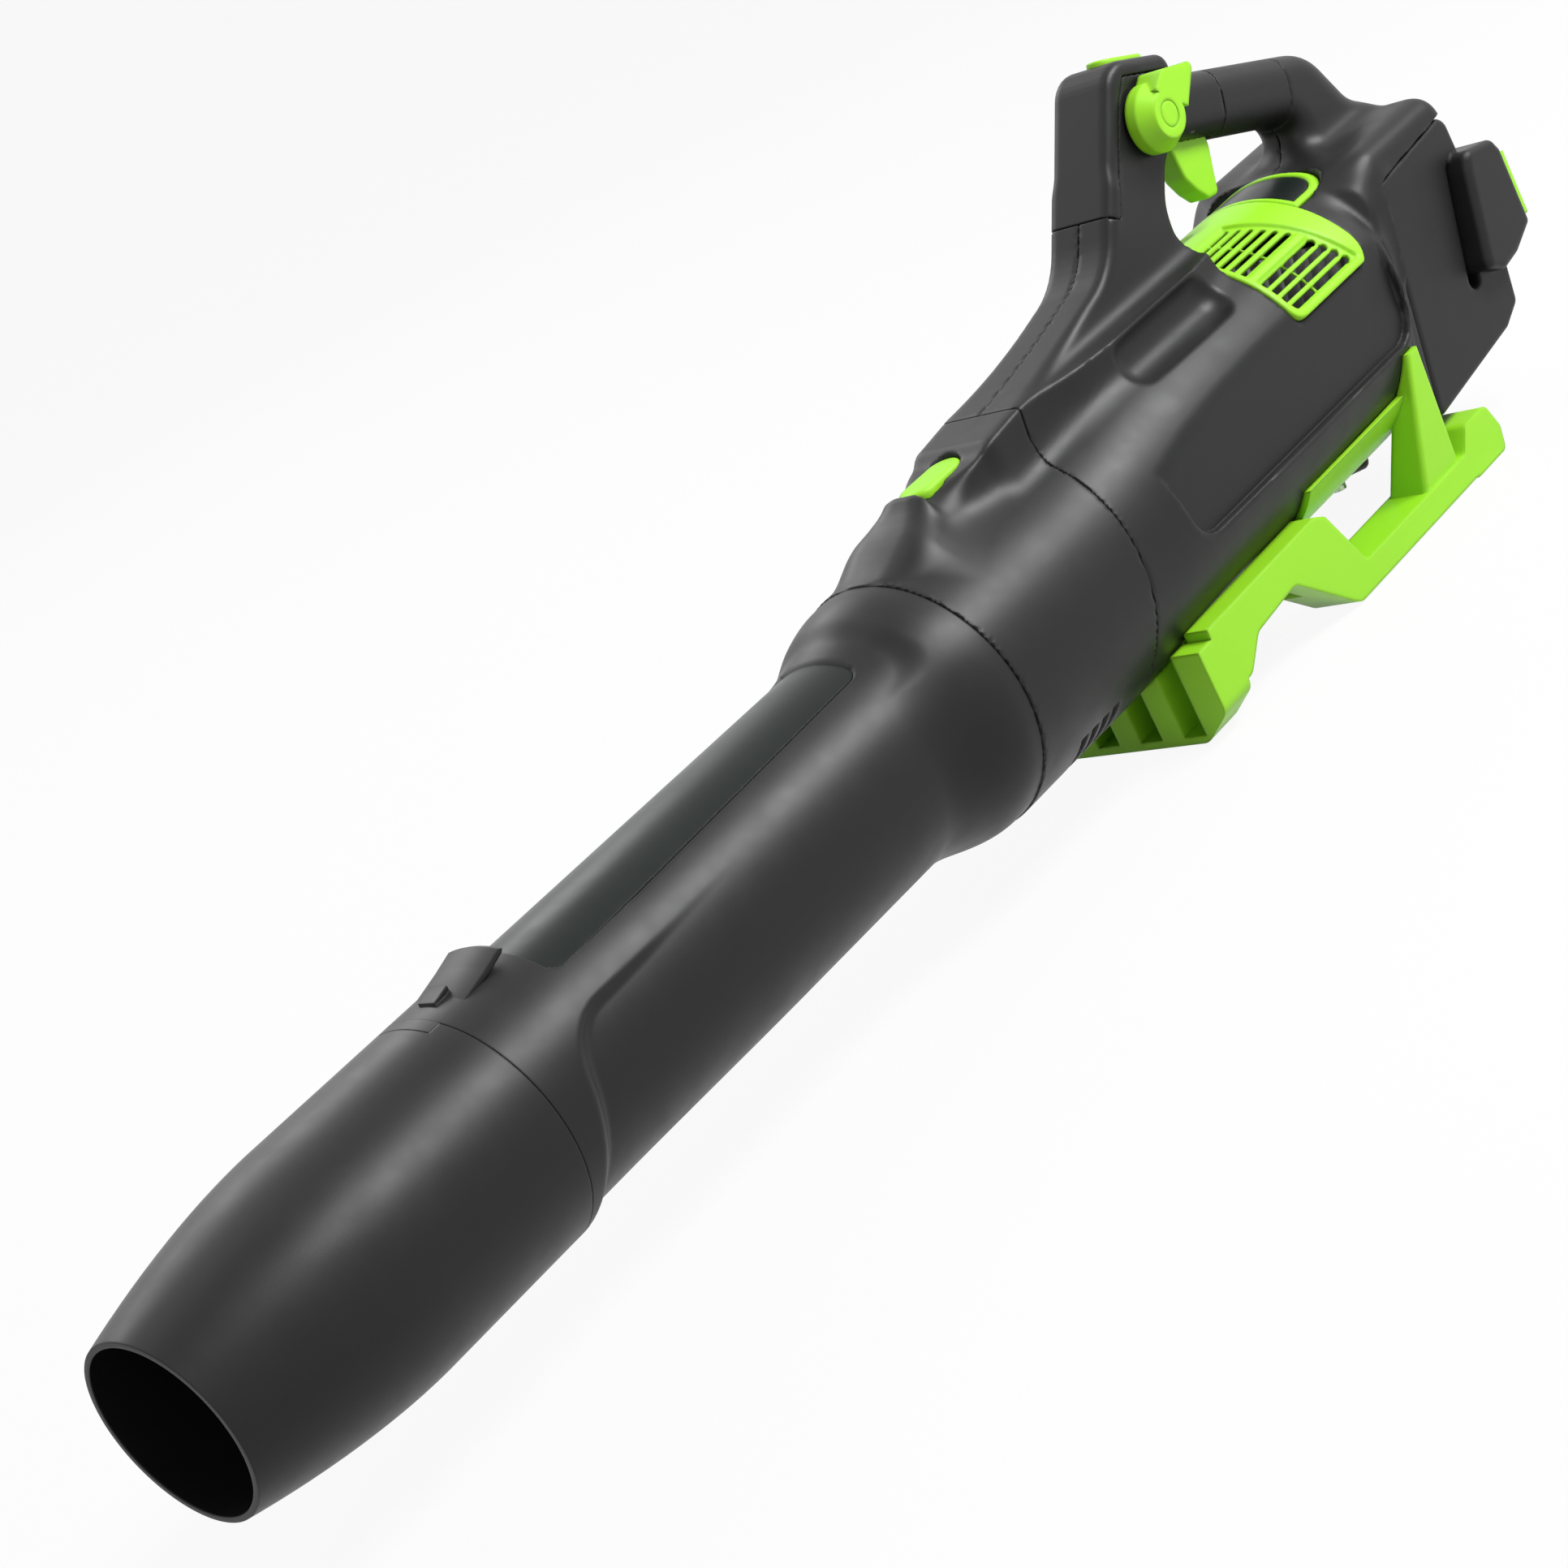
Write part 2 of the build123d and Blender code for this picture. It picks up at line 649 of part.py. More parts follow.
def screw_way(place):
    """The hole for one housing screw."""
    head_y = GRIP_WIDTH / 2 - 4
    shank = cross_pin(place.X, place.Y, SCREW_R, -8, head_y)
    return shank + cross_pin(place.X, place.Y, SCREW_HEAD_R, head_y, head_y + 40)


def housing_screws():
    return Part() + [housing_screw(p) for p in screw_places()]


# Housing pieces
def front_ring():
    """The round outlet ring, with the fairing that holds the tube button."""
    stop_x = spigot_end + SEAT_GAP
    whole = (round_form() + saddle() + post_form()) & ahead_of_seam()
    whole = whole - disc(ring_front - 1, stop_x, SPIGOT_R + SLIDE_GAP) - disc(stop_x - 1, seam + 40, DUCT_R)
    whole = whole - disc(seam, seam + 40, DUCT_R + DUCT_WALL + SLIDE_GAP)
    groove = pipe(ring_front + 12, ring_front + 16, SPIGOT_R, SPIGOT_R + 2.5)
    return whole - tube_button_pocket() - vent_slots() - groove


def cavity():
    """The hollow of the main body and of the rim behind it."""
    flat = SIDE_FLAT - HOUSING_WALL
    hollow = body_form(HOUSING_WALL) + disc(seam - 30, seam, RING_R - HOUSING_WALL)
    hollow = hollow & block(seam - 40, bay_x + 100, -flat, flat, -200, 200)
    hollow = (hollow & in_front_of_bay(RIM_DEPTH + HOUSING_WALL)) - both_sides(scoop(HOUSING_WALL))
    rear_wall = HOUSING_WALL + 1
    return hollow + extrude(bay_plane.offset(-rear_wall) * rim_section(HOUSING_WALL + 1), -RIM_DEPTH)


def sleeve_bed():
    """Everything round the grip's core where the soft sleeve goes."""
    return grip_zone() - grip_form(GRIP_SKIN)


def housing():
    """Both halves of the housing together."""
    shell = barrel() + bay_frame() + (keel() - battery_room()) + (hood() - battery_room())
    shell = shell + saddle() - both_sides(scoop()) - both_sides(side_recess())
    shell = shell + post_form() + (grip_form() - battery_room()) - ahead_of_seam()
    shell = shell - cavity() - post_cavity() - grip_cavity() - trigger_slot() - dial_recess()
    shell = shell - cover_zone() - boost_pocket() - sleeve_bed()
    shell = shell - grille_zone(0.8 * BODY_R, 1.3 * BODY_R)
    shell = shell - window_bed() - terminal_hole() - trigger_pin()
    for place in screw_places():
        shell = shell - screw_way(place)
    for screw in stand_screw_list():
        shell = shell - screw
    return shell


def post_cover():
    return (cover_zone() & post_form()) - boost_pocket()


def soft_grip():
    return sleeve_bed() & grip_form()


# Grille and top window
def slot_angles():
    """The angles of the air slots on one side, leaving a wide bar part way down."""
    count = int((GRILLE_HALF_ANGLE - 12) / SLOT_PITCH)
    angles = [10 + SLOT_PITCH * i for i in range(count)]
    return [a for i, a in enumerate(angles) if i != 6]


def air_slot(angle):
    """One air slot, longer towards the side of the body."""
    share = (angle - 10) / (GRILLE_HALF_ANGLE - 10)
    x0 = grille_front + 6
    x1 = grille_rear - 30 + 20 * share
    slot = Pos((x0 + x1) / 2, 0, BODY_R) * extrude(SlotOverall(x1 - x0, SLOT_WIDTH), 10, both=True)
    return Pos(0, 0, BODY_RISE) * Rot(angle, 0, 0) * slot


def grille_zone(r_in, r_out):
    """The saddle-shaped place of the grille, with rounded corners at the rear."""
    zone = top_sector(grille_front, grille_rear, r_in, r_out, GRILLE_HALF_ANGLE)
    low = BODY_RISE + (BODY_R - HOUSING_WALL) * cos(radians(GRILLE_HALF_ANGLE)) - 1
    corners = [(grille_front, low), (grille_rear, low), (grille_rear, 2 * BODY_R), (grille_front, 2 * BODY_R)]
    return zone & side_prism(corners, 2 * BODY_R, [0, 16, 0, 0])


def intake_grille():
    r_out = BODY_R + GRILLE_PROUD
    r_in = BODY_R - HOUSING_WALL
    plate = grille_zone(r_in, r_out)
    for angle in slot_angles():
        plate = plate - air_slot(angle) - air_slot(-angle)
    bar_x = grille_front + 0.36 * GRILLE_LENGTH
    cross_bar = top_sector(bar_x, bar_x + 2, r_in, r_in + 1.6, GRILLE_HALF_ANGLE - 2)
    return plate + cross_bar


def window_bed():
    """The step behind the grille that the window and its trim sit on."""
    return top_sector(grille_rear, window_rear, BODY_R - 2, 1.3 * BODY_R, WINDOW_HALF_ANGLE)


def window_pane():
    inset = degrees(TRIM_WIDTH / BODY_R)
    half_angle = WINDOW_HALF_ANGLE - inset
    return top_sector(grille_rear, window_rear - TRIM_WIDTH, BODY_R - 2, BODY_R + 0.2, half_angle)


def window_trim():
    frame = top_sector(grille_rear, window_rear, BODY_R - 2, BODY_R + GRILLE_PROUD, WINDOW_HALF_ANGLE)
    inset = degrees(TRIM_WIDTH / BODY_R)
    hole = top_sector(grille_rear, window_rear - TRIM_WIDTH, BODY_R - 5, BODY_R + 5, WINDOW_HALF_ANGLE - inset)
    return frame - hole


# Controls
def trigger():
    p = trigger_pivot
    front = [(-9, 9), (8, 9), (15, 2), (16, -14), (11, -27)]
    outline = front + [(7.5, -37), (-1, -36), (-7, -29), (-12, -20), (-13, -4)]
    points = [(p.X + x, p.Y + z) for x, z in outline]
    solid = side_prism(points, TRIGGER_WIDTH / 2, [3, 3, 3, 12, 12, 3, 3, 8, 8, 3])
    ends = solid.faces().sort_by(Axis.Y)
    solid = fillet(ends[0].edges() + ends[-1].edges(), 1.5)
    hole = cross_pin(p.X, p.Y, PIVOT_PIN_R + RUNNING_GAP, -20, 20)
    coil = cross_pin(p.X, p.Y, PIVOT_PIN_R + 3.5, -2.5, 2.5)
    return solid - hole - coil


def trigger_pin():
    half = GRIP_WIDTH / 2 - 3
    return cross_pin(trigger_pivot.X, trigger_pivot.Y, PIVOT_PIN_R, -half, half)


def trigger_spring():
    """The coil of the torsion spring round the pivot."""
    p = trigger_pivot
    coil = cross_pin(p.X, p.Y, PIVOT_PIN_R + 2.4, -2, 2)
    return coil - cross_pin(p.X, p.Y, PIVOT_PIN_R + 0.6, -3, 3)


def trigger_switch():
    wall = GRIP_CORE_WALL
    return along_grip(37, 62, wall, GRIP_HEIGHT - wall, GRIP_WIDTH / 2 - wall)


def cruise_lever():
    """A round lever on the left of the post, with a ribbed thumb tab."""
    x = dial_centre.X
    z = dial_centre.Y
    y_back = -POST_WIDTH / 2 - SLIDE_GAP
    rim = 6.0
    back = cross_pin(x, z, DIAL_R, y_back - rim, y_back)
    upright = (Align.CENTER, Align.CENTER, Align.MIN)
    cone = Pos(x, y_back - rim, z) * Rot(90, 0, 0) * Cone(DIAL_R, DIAL_FACE_R, DIAL_DEPTH - rim, align=upright)
    corners = [dial_centre + grip_dir * a + grip_up * b for a, b in ((-7, 12), (0, 21), (26, 23), (15, 2))]
    points = [(p.X, p.Y) for p in corners]
    tab = side_prism(points, DIAL_DEPTH / 2, [0, 4, 3, 0], centre=y_back - DIAL_DEPTH / 2)
    shaft = cross_pin(x, z, DIAL_SHAFT_R, y_back, -6)
    cap_seat = cross_pin(x, z, 6.5, y_back - DIAL_DEPTH - 1, y_back - DIAL_DEPTH + 2)
    lever = back + cone + tab + shaft - cap_seat
    for i in range(4):
        groove = dial_centre + grip_dir * (5 + 4.5 * i) + grip_up * (22 + 0.3 * i)
        lever = lever - cross_pin(groove.X, groove.Y, 1.1, y_back - DIAL_DEPTH - 1, y_back + 1)
    return lever


def cruise_cap():
    y_face = -POST_WIDTH / 2 - SLIDE_GAP - DIAL_DEPTH
    cap = cross_pin(dial_centre.X, dial_centre.Y, 6.5, y_face, y_face + 2)
    return fillet(cap.edges().sort_by(Axis.Y)[0], 1.0)


def cruise_sensor():
    """The sensor that reads the lever's shaft inside the post."""
    return cross_pin(dial_centre.X, dial_centre.Y, 8.5, -5.5, 4)


def boost_button():
    plan = SlotOverall(BOOST_LENGTH, BOOST_WIDTH)
    height = boost_proud + boost_depth
    solid = extrude(plan, height)
    solid = fillet(solid.edges().group_by(Axis.Z)[-1], 1.2)
    return on_post_top(boost_along, boost_depth) * solid


def boost_switch():
    height = COVER_DEPTH + 4 - boost_depth - BOOST_TRAVEL - 0.6
    return on_post_top(boost_along, COVER_DEPTH + 4) * Pos(0, 0, height / 2) * Box(12, 8, height)


def tube_button():
    low = button_floor + button_spring
    high = FAIRING_FRONT_TOP + FAIRING_LIP - 0.5
    solid = Pos(0, 0, low) * extrude(tube_button_plan(), high - low)
    return fillet(solid.edges().group_by(Axis.Z)[-1], 2.2)


def tube_button_spring():
    coil = Cylinder(5, button_spring) - Cylinder(3.8, 2 * button_spring)
    return Pos(seam - 32, 0, button_floor + button_spring / 2) * coil


# Fan and motor
pod_front = seam + 16.0
pod_rear = seam + 110.0
fan_front = pod_rear + 8.0


def fan_duct():
    """The duct round the fan, with the vanes that carry the motor pod."""
    duct = pipe(seam + SEAT_GAP, fan_front + FAN_LENGTH + 14, DUCT_R, DUCT_R + DUCT_WALL)
    pod = pipe(pod_front, pod_rear, POD_R - DUCT_WALL, POD_R)
    seat_front = pipe(pod_front + 4, pod_front + 4 + BEARING_WIDTH, BEARING_R, POD_R - 1)
    seat_rear = pipe(pod_rear - BEARING_WIDTH, pod_rear, BEARING_R, POD_R - 1)
    whole = duct + pod + seat_front + seat_rear
    middle_x = (pod_front + pod_rear) / 2
    for i in range(VANES):
        vane = Box(60, 2.4, DUCT_R - POD_R + 2)
        middle_r = (DUCT_R + POD_R) / 2
        whole = whole + Rot(360 * i / VANES, 0, 0) * Pos(middle_x, 0, middle_r) * vane
    return whole


def tail_cone():
    """The rounded nose of the motor pod, pointing at the tube."""
    length = 52.0
    nose = Ellipse(length, POD_R)
    half = make_face(nose.edges()) & (Pos(-length / 2, POD_R / 2) * Rectangle(length, POD_R))
    return Pos(pod_front, 0, 0) * revolve(Plane.XZ * half, Axis.X)


def motor_stator():
    x0 = pod_front + 24
    x1 = pod_rear - 20
    return pipe(x0, x1, 16, POD_R - DUCT_WALL)


def motor_rotor():
    x0 = pod_front + 26
    x1 = pod_rear - 22
    return pipe(x0, x1, SHAFT_R, 16 - MOVE_GAP)


def motor_shaft():
    return disc(pod_front + 3, fan_front + FAN_LENGTH + 6, SHAFT_R)


def bearing(x0):
    return pipe(x0, x0 + BEARING_WIDTH, SHAFT_R + RUNNING_GAP, BEARING_R)


def fan():
    """An axial fan: a hub with twisted blades."""
    x1 = fan_front + FAN_LENGTH
    hub = pipe(fan_front, x1, SHAFT_R, FAN_HUB_R)
    tip_r = DUCT_R - FAN_TIP_GAP
    middle_x = (fan_front + x1) / 2
    root = Plane(origin=(middle_x, 0, FAN_HUB_R - 2), x_dir=(1, 0, 0), z_dir=(0, 0, 1))
    tip = Plane(origin=(middle_x, 0, tip_r - 2), x_dir=(1, 0, 0), z_dir=(0, 0, 1))
    blade = loft([root * Rot(0, 0, 38) * Rectangle(26, 2.4), tip * Rot(0, 0, 62) * Rectangle(30, 1.8)])
    blades = [Rot(360 * i / FAN_BLADES, 0, 0) * blade for i in range(FAN_BLADES)]
    return (hub + blades) & disc(fan_front - 1, x1 + 1, tip_r)


def fan_nut():
    x0 = fan_front + FAN_LENGTH
    nut = extrude(Plane.YZ * RegularPolygon(7.5, 6), 5.5)
    return Pos(x0, 0, 0) * nut - disc(x0 - 1, x0 + 10, SHAFT_R)


# Electrics
def rear_wall_place(up, setback):
    """A place on the inside of the leaning rear wall."""
    return bay_plane.offset(-setback) * Pos(0, up, 0)


def heat_sink():
    """A finned tray behind the intake, which cools the controller."""
    base = rear_wall_place(12, HOUSING_WALL + 1) * Pos(0, 0, -2) * Box(70, 56, 4)
    fins = [rear_wall_place(12, HOUSING_WALL + 1) * Pos(-31.5 + 9 * i, 0, -8) * Box(2, 56, 8) for i in range(8)]
    return base + fins


def controller_board():
    return rear_wall_place(-26, HOUSING_WALL + 1) * Pos(0, 0, -5) * Box(64, 16, 10)


def terminal_centre():
    z = BATTERY_TOP - 8
    return Pos(bay_face_x(z), 0, z) * Rot(0, -BATTERY_TILT, 0)


def terminal_hole():
    return terminal_centre() * Box(40, 44, TERMINAL_HEIGHT)


def terminal_block():
    """The block that carries the contacts through the rear wall."""
    return terminal_centre() * Pos(-10, 0, 0) * Box(24, 44, TERMINAL_HEIGHT) & in_front_of_bay(SEAT_GAP)


def contact_blades(length, thickness, height):
    """Blades that stand out of the terminal block towards the battery."""
    blade = Box(length, thickness, height)
    return [terminal_centre() * Pos(length / 2 - 6, -16 + 8 * i, 0) * blade for i in range(5)]


def terminal_contacts():
    return Part() + contact_blades(20, 1.2, 5) - in_front_of_bay(SEAT_GAP)


# Battery
def battery_outline(inset=0.0):
    """The battery seen from the side, as (x, z) corners."""
    gap = SEAT_GAP
    rear = bay_face_x(0) + BATTERY_LENGTH
    front_low = bay_face_x(-BATTERY_DROP) + gap + inset
    front_top = bay_face_x(BATTERY_TOP) + gap + inset
    top_rise = (rear - front_top) * tan(tilt)
    return [
        (front_low, -BATTERY_DROP + inset),
        (front_top, BATTERY_TOP - inset),
        (rear - inset, BATTERY_TOP + top_rise - inset),
        (rear + 3 - inset, -20),
        (rear - 2 - inset, -42),
        (rear - 18 - inset, -49 + inset),
    ]


def boss_outline():
    """The finger grip at the rear of each side of the battery."""
    rear = bay_face_x(0) + BATTERY_LENGTH
    top = [(rear - 29, -12), (rear - 14, 36), (rear - 10, 45), (rear + 16, 40), (rear + 20, 33)]
    return top + [(rear + 20, -9), (rear, -17), (rear - 15, -19)]


def battery_boss():
    """The left finger grip, with the pocket that its latch sits in."""
    y0 = -BATTERY_WIDTH / 2 - BOSS_PROUD
    y1 = -BATTERY_WIDTH / 2 + 12
    solid = side_prism(boss_outline(), (y1 - y0) / 2, [5, 8, 6, 5, 3, 4, 8, 8], centre=(y0 + y1) / 2)
    outer = solid.faces().sort_by(Axis.Y)[0]
    return fillet(outer.edges(), 4)


def finger_groove():
    """The groove in front of the left finger grip."""
    rear = bay_face_x(0) + BATTERY_LENGTH
    points = [(rear - 38, -20), (rear - 16, 42), (rear - 4, 42), (rear - 26, -20)]
    return side_prism(points, 9, [5, 5, 5, 5], centre=-BATTERY_WIDTH / 2)


def latch_room(grow=0.0):
    """The pocket at the rear of the left finger grip."""
    rear = bay_face_x(0) + BATTERY_LENGTH
    y0 = -BATTERY_WIDTH / 2 - BOSS_PROUD + 2.5
    return block(rear + 9 - grow, rear + 60, y0 - grow, y0 + 16 + grow, -5 - grow, 30 + grow)


def battery_case():
    solid = side_prism(battery_outline(), BATTERY_WIDTH / 2, [4, 4, 8, 3, 6, 6])
    ends = solid.faces().sort_by(Axis.Y)
    solid = fillet(ends[0].edges() + ends[-1].edges(), 3)
    hollow = side_prism(battery_outline(BATTERY_WALL), BATTERY_WIDTH / 2 - 12)
    grips = both_sides(battery_boss() - latch_room(SLIDE_GAP))
    solid = solid - both_sides(finger_groove()) + grips - hollow
    for way in contact_blades(24, 4, 8):
        solid = solid - way
    return solid


def battery_latch():
    """The left release key at the rear of the battery."""
    rear = bay_face_x(0) + BATTERY_LENGTH
    y0 = -BATTERY_WIDTH / 2 - BOSS_PROUD + 2.5
    solid = block(rear + 9 + MOVE_GAP + KEY_TRAVEL, rear + KEY_REACH, y0, y0 + 16, -5, 30)
    return fillet(solid.faces().sort_by(Axis.X)[-1].edges(), 2)


def battery_cells():
    """Rows of round cells across the pack, stepped along its leaning front."""
    pitch = 2 * CELL_R + 0.2
    low = -BATTERY_DROP + BATTERY_WALL + CELL_R + 10
    rows = int((BATTERY_TOP - 22 - low) / pitch) + 1
    cells = []
    for row in range(rows):
        z = low + pitch * row
        x0 = bay_face_x(z, -(SEAT_GAP + BATTERY_WALL + CELL_R + 0.5))
        for column in range(4):
            x = x0 + pitch * column
            cells.append(cross_pin(x, z, CELL_R, -CELL_LENGTH / 2, CELL_LENGTH / 2))
    return Part() + cells


# Stand
floor_z = -AXIS_HEIGHT


def foot():
    """The cross foot under the front of the body, with pockets in its front."""
    x0 = seam + 10
    x1 = x0 + FOOT_LENGTH
    side = RUNNER_OUTER
    right = [(FOOT_HALF_WIDTH, floor_z), (side, floor_z + 14), (side, -46)]
    points = [(-FOOT_HALF_WIDTH, floor_z)] + right + [(-side, -46), (-side, floor_z + 14)]
    corners = [(x0, y, z) for y, z in points]
    face = make_face(FilletPolyline(*corners, radius=[8, 8, 8, 0, 0, 8], close=True))
    wall = extrude(face, x1 - x0, dir=(1, 0, 0))
    pitch = 2 * side / (FOOT_POCKETS + 0.77)
    for i in range(FOOT_POCKETS):
        y = pitch * (i - (FOOT_POCKETS - 1) / 2)
        wall = wall - block(x0 - 1, x0 + 15, y - pitch / 4, y + pitch / 4, floor_z + 4, -30)
    return wall


def runner():
    """The left runner: a rail along the body, a slanting leg, a bar and a heel."""
    y1 = -RUNNER_OUTER + RUNNER_WIDTH
    foot_x = seam + 10
    peak = seam + 124
    bar_z = floor_z + HEEL_PAD
    heel_x = bay_x - 14
    end_x = bay_x + 16
    points = [
        (foot_x + 12, floor_z + 18),
        (foot_x + FOOT_LENGTH + 4, floor_z + 18),
        (seam + 54, -61),
        (seam + 92, -58),
        (seam + 131, bar_z),
        (heel_x, bar_z),
        (heel_x, floor_z),
        (end_x, floor_z),
        (end_x + 3, floor_z + 12),
        (end_x - 3, floor_z + 27),
        (heel_x + 6, floor_z + 27),
        (heel_x - 4, bar_z + RUNNER_HEIGHT),
        (seam + 148, bar_z + RUNNER_HEIGHT),
        (peak + 8, -44),
        (peak, -40),
        (foot_x + 12, -41),
    ]
    radii = [0, 8, 8, 8, 10, 1, 1, 4, 5, 6, 5, 5, 6, 4, 6, 0]
    middle = -RUNNER_OUTER + RUNNER_WIDTH / 2
    whole = side_prism(points, RUNNER_WIDTH / 2, radii, centre=middle)
    inside = block(foot_x, peak - 14, y1 - 12, y1 + 1, floor_z - 1, 0)
    return whole - inside


def rear_strut():
    """The left strut from the runner's bar up to the side of the body."""
    low_z = floor_z + HEEL_PAD + RUNNER_HEIGHT - 3
    middle_y = -RUNNER_OUTER + RUNNER_WIDTH / 2 + 1
    base = Pos(bay_x - 39, middle_y, low_z) * RectangleRounded(36, RUNNER_WIDTH - 2, 3)
    tip = Pos(bay_x - 31, -BODY_R + 6, -12) * RectangleRounded(10, 10, 2)
    return loft([base, tip])


def cradle():
    """The curved plate under the body that joins the two runners."""
    x0 = bay_x - 138
    x1 = bay_x - 34
    plate = pipe(x0, x1, BODY_R - 8, BODY_R + 3.5, BODY_RISE)
    low = block(x0 - 1, x1 + 1, -RUNNER_OUTER, RUNNER_OUTER, -200, -30)
    return plate & low


def stand_screw(x, y):
    """One screw from below, through the cradle into the body."""
    depth = sqrt(BODY_R ** 2 - y ** 2)
    face_z = BODY_RISE - depth
    shank = Pos(x, y, face_z) * Cylinder(SCREW_R, 8)
    head = Pos(x, y, face_z - 4 - 1.2) * Cylinder(SCREW_HEAD_R, 2.4)
    return shank + head


def stand_screw_list():
    return [stand_screw(x, y) for x in (bay_x - 126, bay_x - 66) for y in (-20, 20)]


def stand_screws():
    return Part() + stand_screw_list()


def stand():
    """The one-piece stand that the blower rests on."""
    whole = foot() + both_sides(runner()) + both_sides(rear_strut()) + cradle()
    whole = whole - round_form(-SLIDE_GAP) - bay_frame() - keel()
    for screw in stand_screw_list():
        whole = whole - screw
    return whole


def part_frame():
    """Moves a piece from the tube's axis to the floor, centred along its length."""
    return Pos(-overall_length() / 2, 0, AXIS_HEIGHT)


def pieces():
    """Every piece of the blower by name."""
    whole = housing()
    left = split(whole, Plane.XZ, Keep.TOP)
    right = split(whole, Plane.XZ, Keep.BOTTOM)
    return {
        "nozzle": nozzle(),
        "nozzle_latch": nozzle_latch(),
        "blower_tube": blower_tube(),
        "tube_panel": tube_panel(),
        "tube_seal": tube_seal(),
        "front_ring": front_ring(),
        "housing_left": left,
        "housing_right": right,
        "post_cover": post_cover(),
        "soft_grip": soft_grip(),
        "housing_screws": housing_screws(),
        "intake_grille": intake_grille(),
        "window_pane": window_pane(),
        "window_trim": window_trim(),
        "trigger": trigger(),
        "trigger_pin": trigger_pin(),
        "trigger_spring": trigger_spring(),
        "trigger_switch": trigger_switch(),
        "cruise_lever": cruise_lever(),
        "cruise_cap": cruise_cap(),
        "cruise_sensor": cruise_sensor(),
        "boost_button": boost_button(),
        "boost_switch": boost_switch(),
        "tube_button": tube_button(),
        "tube_button_spring": tube_button_spring(),
        "fan_duct": fan_duct(),
        "tail_cone": tail_cone(),
        "motor_stator": motor_stator(),
        "motor_rotor": motor_rotor(),
        "motor_shaft": motor_shaft(),
        "front_bearing": bearing(pod_front + 4),
        "rear_bearing": bearing(pod_rear - BEARING_WIDTH),
        "fan": fan(),
        "fan_nut": fan_nut(),
        "heat_sink": heat_sink(),
        "controller_board": controller_board(),
        "terminal_block": terminal_block(),
        "terminal_contacts": terminal_contacts(),
        "battery_case": battery_case(),
        "battery_cells": battery_cells(),
        "battery_latch_left": battery_latch(),
        "battery_latch_right": mirrored(battery_latch()),
        "stand": stand(),
        "stand_screws": stand_screws(),
    }


os.makedirs("parts", exist_ok=True)
for name, shape in pieces().items():
    export_step(part_frame() * shape, f"parts/{name}.step")
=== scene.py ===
import json
import math
import bpy
import numpy as np
from mathutils import Matrix, Vector


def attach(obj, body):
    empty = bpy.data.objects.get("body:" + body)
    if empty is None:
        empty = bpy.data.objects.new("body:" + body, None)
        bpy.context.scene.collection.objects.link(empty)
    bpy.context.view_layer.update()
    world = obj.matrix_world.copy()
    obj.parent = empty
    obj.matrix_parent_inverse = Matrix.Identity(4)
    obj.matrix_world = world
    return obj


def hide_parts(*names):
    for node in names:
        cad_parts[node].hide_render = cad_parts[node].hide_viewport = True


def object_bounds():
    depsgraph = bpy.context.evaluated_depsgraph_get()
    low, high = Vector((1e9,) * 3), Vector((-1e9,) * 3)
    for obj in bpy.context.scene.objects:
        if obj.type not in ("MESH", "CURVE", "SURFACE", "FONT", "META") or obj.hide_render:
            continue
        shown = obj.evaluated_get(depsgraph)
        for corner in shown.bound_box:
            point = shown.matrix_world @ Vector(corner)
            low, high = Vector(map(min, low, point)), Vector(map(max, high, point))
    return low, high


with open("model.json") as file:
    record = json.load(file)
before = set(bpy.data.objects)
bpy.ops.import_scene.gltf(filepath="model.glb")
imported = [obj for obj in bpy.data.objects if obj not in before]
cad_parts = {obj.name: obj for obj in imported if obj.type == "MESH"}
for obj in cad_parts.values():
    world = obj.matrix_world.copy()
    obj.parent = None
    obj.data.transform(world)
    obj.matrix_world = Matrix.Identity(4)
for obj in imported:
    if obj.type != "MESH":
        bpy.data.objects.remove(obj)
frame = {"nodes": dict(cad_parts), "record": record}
cad_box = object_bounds()
nodes = frame["nodes"]

# Shapes are worked out in millimetres from the middle of the mouth: X rearward, Y right, Z up.
MM = 0.001
AXIS_HEIGHT = 92.0
HALF_LENGTH = -cad_box[0].x / MM

# Tube
NOZZLE_R = 54.5
NOZZLE_WALL = 2.5
SPIGOT_FRONT = 113.0
TUBE_R = 51.2
TUBE_FRONT = 173.4
TUBE_BAND = 20.0
TUBE_BAND_LEAN = 17.0
COLLAR_X = 481.4
COLLAR_R = 63.3
COLLAR_WIDTH = 5.0
FLARE_LENGTH = 56.0
SPIGOT_R = 58.0
SPIGOT_END = 557.4
PANEL_FRONT = 219.0
PANEL_REAR = 437.0
PANEL_HALF_FRONT = 36.5
PANEL_HALF_REAR = 29.0
PANEL_SINK = 0.7
TOP_REAR = 454.0
TOP_RAMP = 79.0
TOP_STATIONS = [215, 323, 438]
TOP_HALF_ANGLES = [58.4, 55.0, 49.8]

# Housing
RING_FRONT = 481.8
RING_R = 64.0
SEAM = 582.8
SEAM_LEAN = 10.0
BODY_LENGTH = 270.0
BODY_R = 69.0
BODY_RISE = 10.0
WALL = 3.0
DUCT_R = 52.0
SIDE_FLAT = 62.0
SADDLE_TOP = 83.0
FAIRING_TOP = 75.7
FAIRING_LIP = 4.8
SADDLE_HALF = 34.0
LIP_X = SEAM - 54
SADDLE_X = SEAM + 17
SCOOP_LENGTH = 73.0
SCOOP_R = 14.5
SCOOP_Y = 45.5
SCOOP_RISE = 63.5
VENT_COUNT = 4
VENT_PITCH = 9.0
VENT_WIDTH = 4.5
BUTTON_AHEAD = 32.0
BUTTON_LENGTH = 38.6
BUTTON_WIDTH = 18.6
BOOST_LENGTH = 34.6
BOOST_WIDTH = 14.6
DIAL_SEAT_R = 18.5
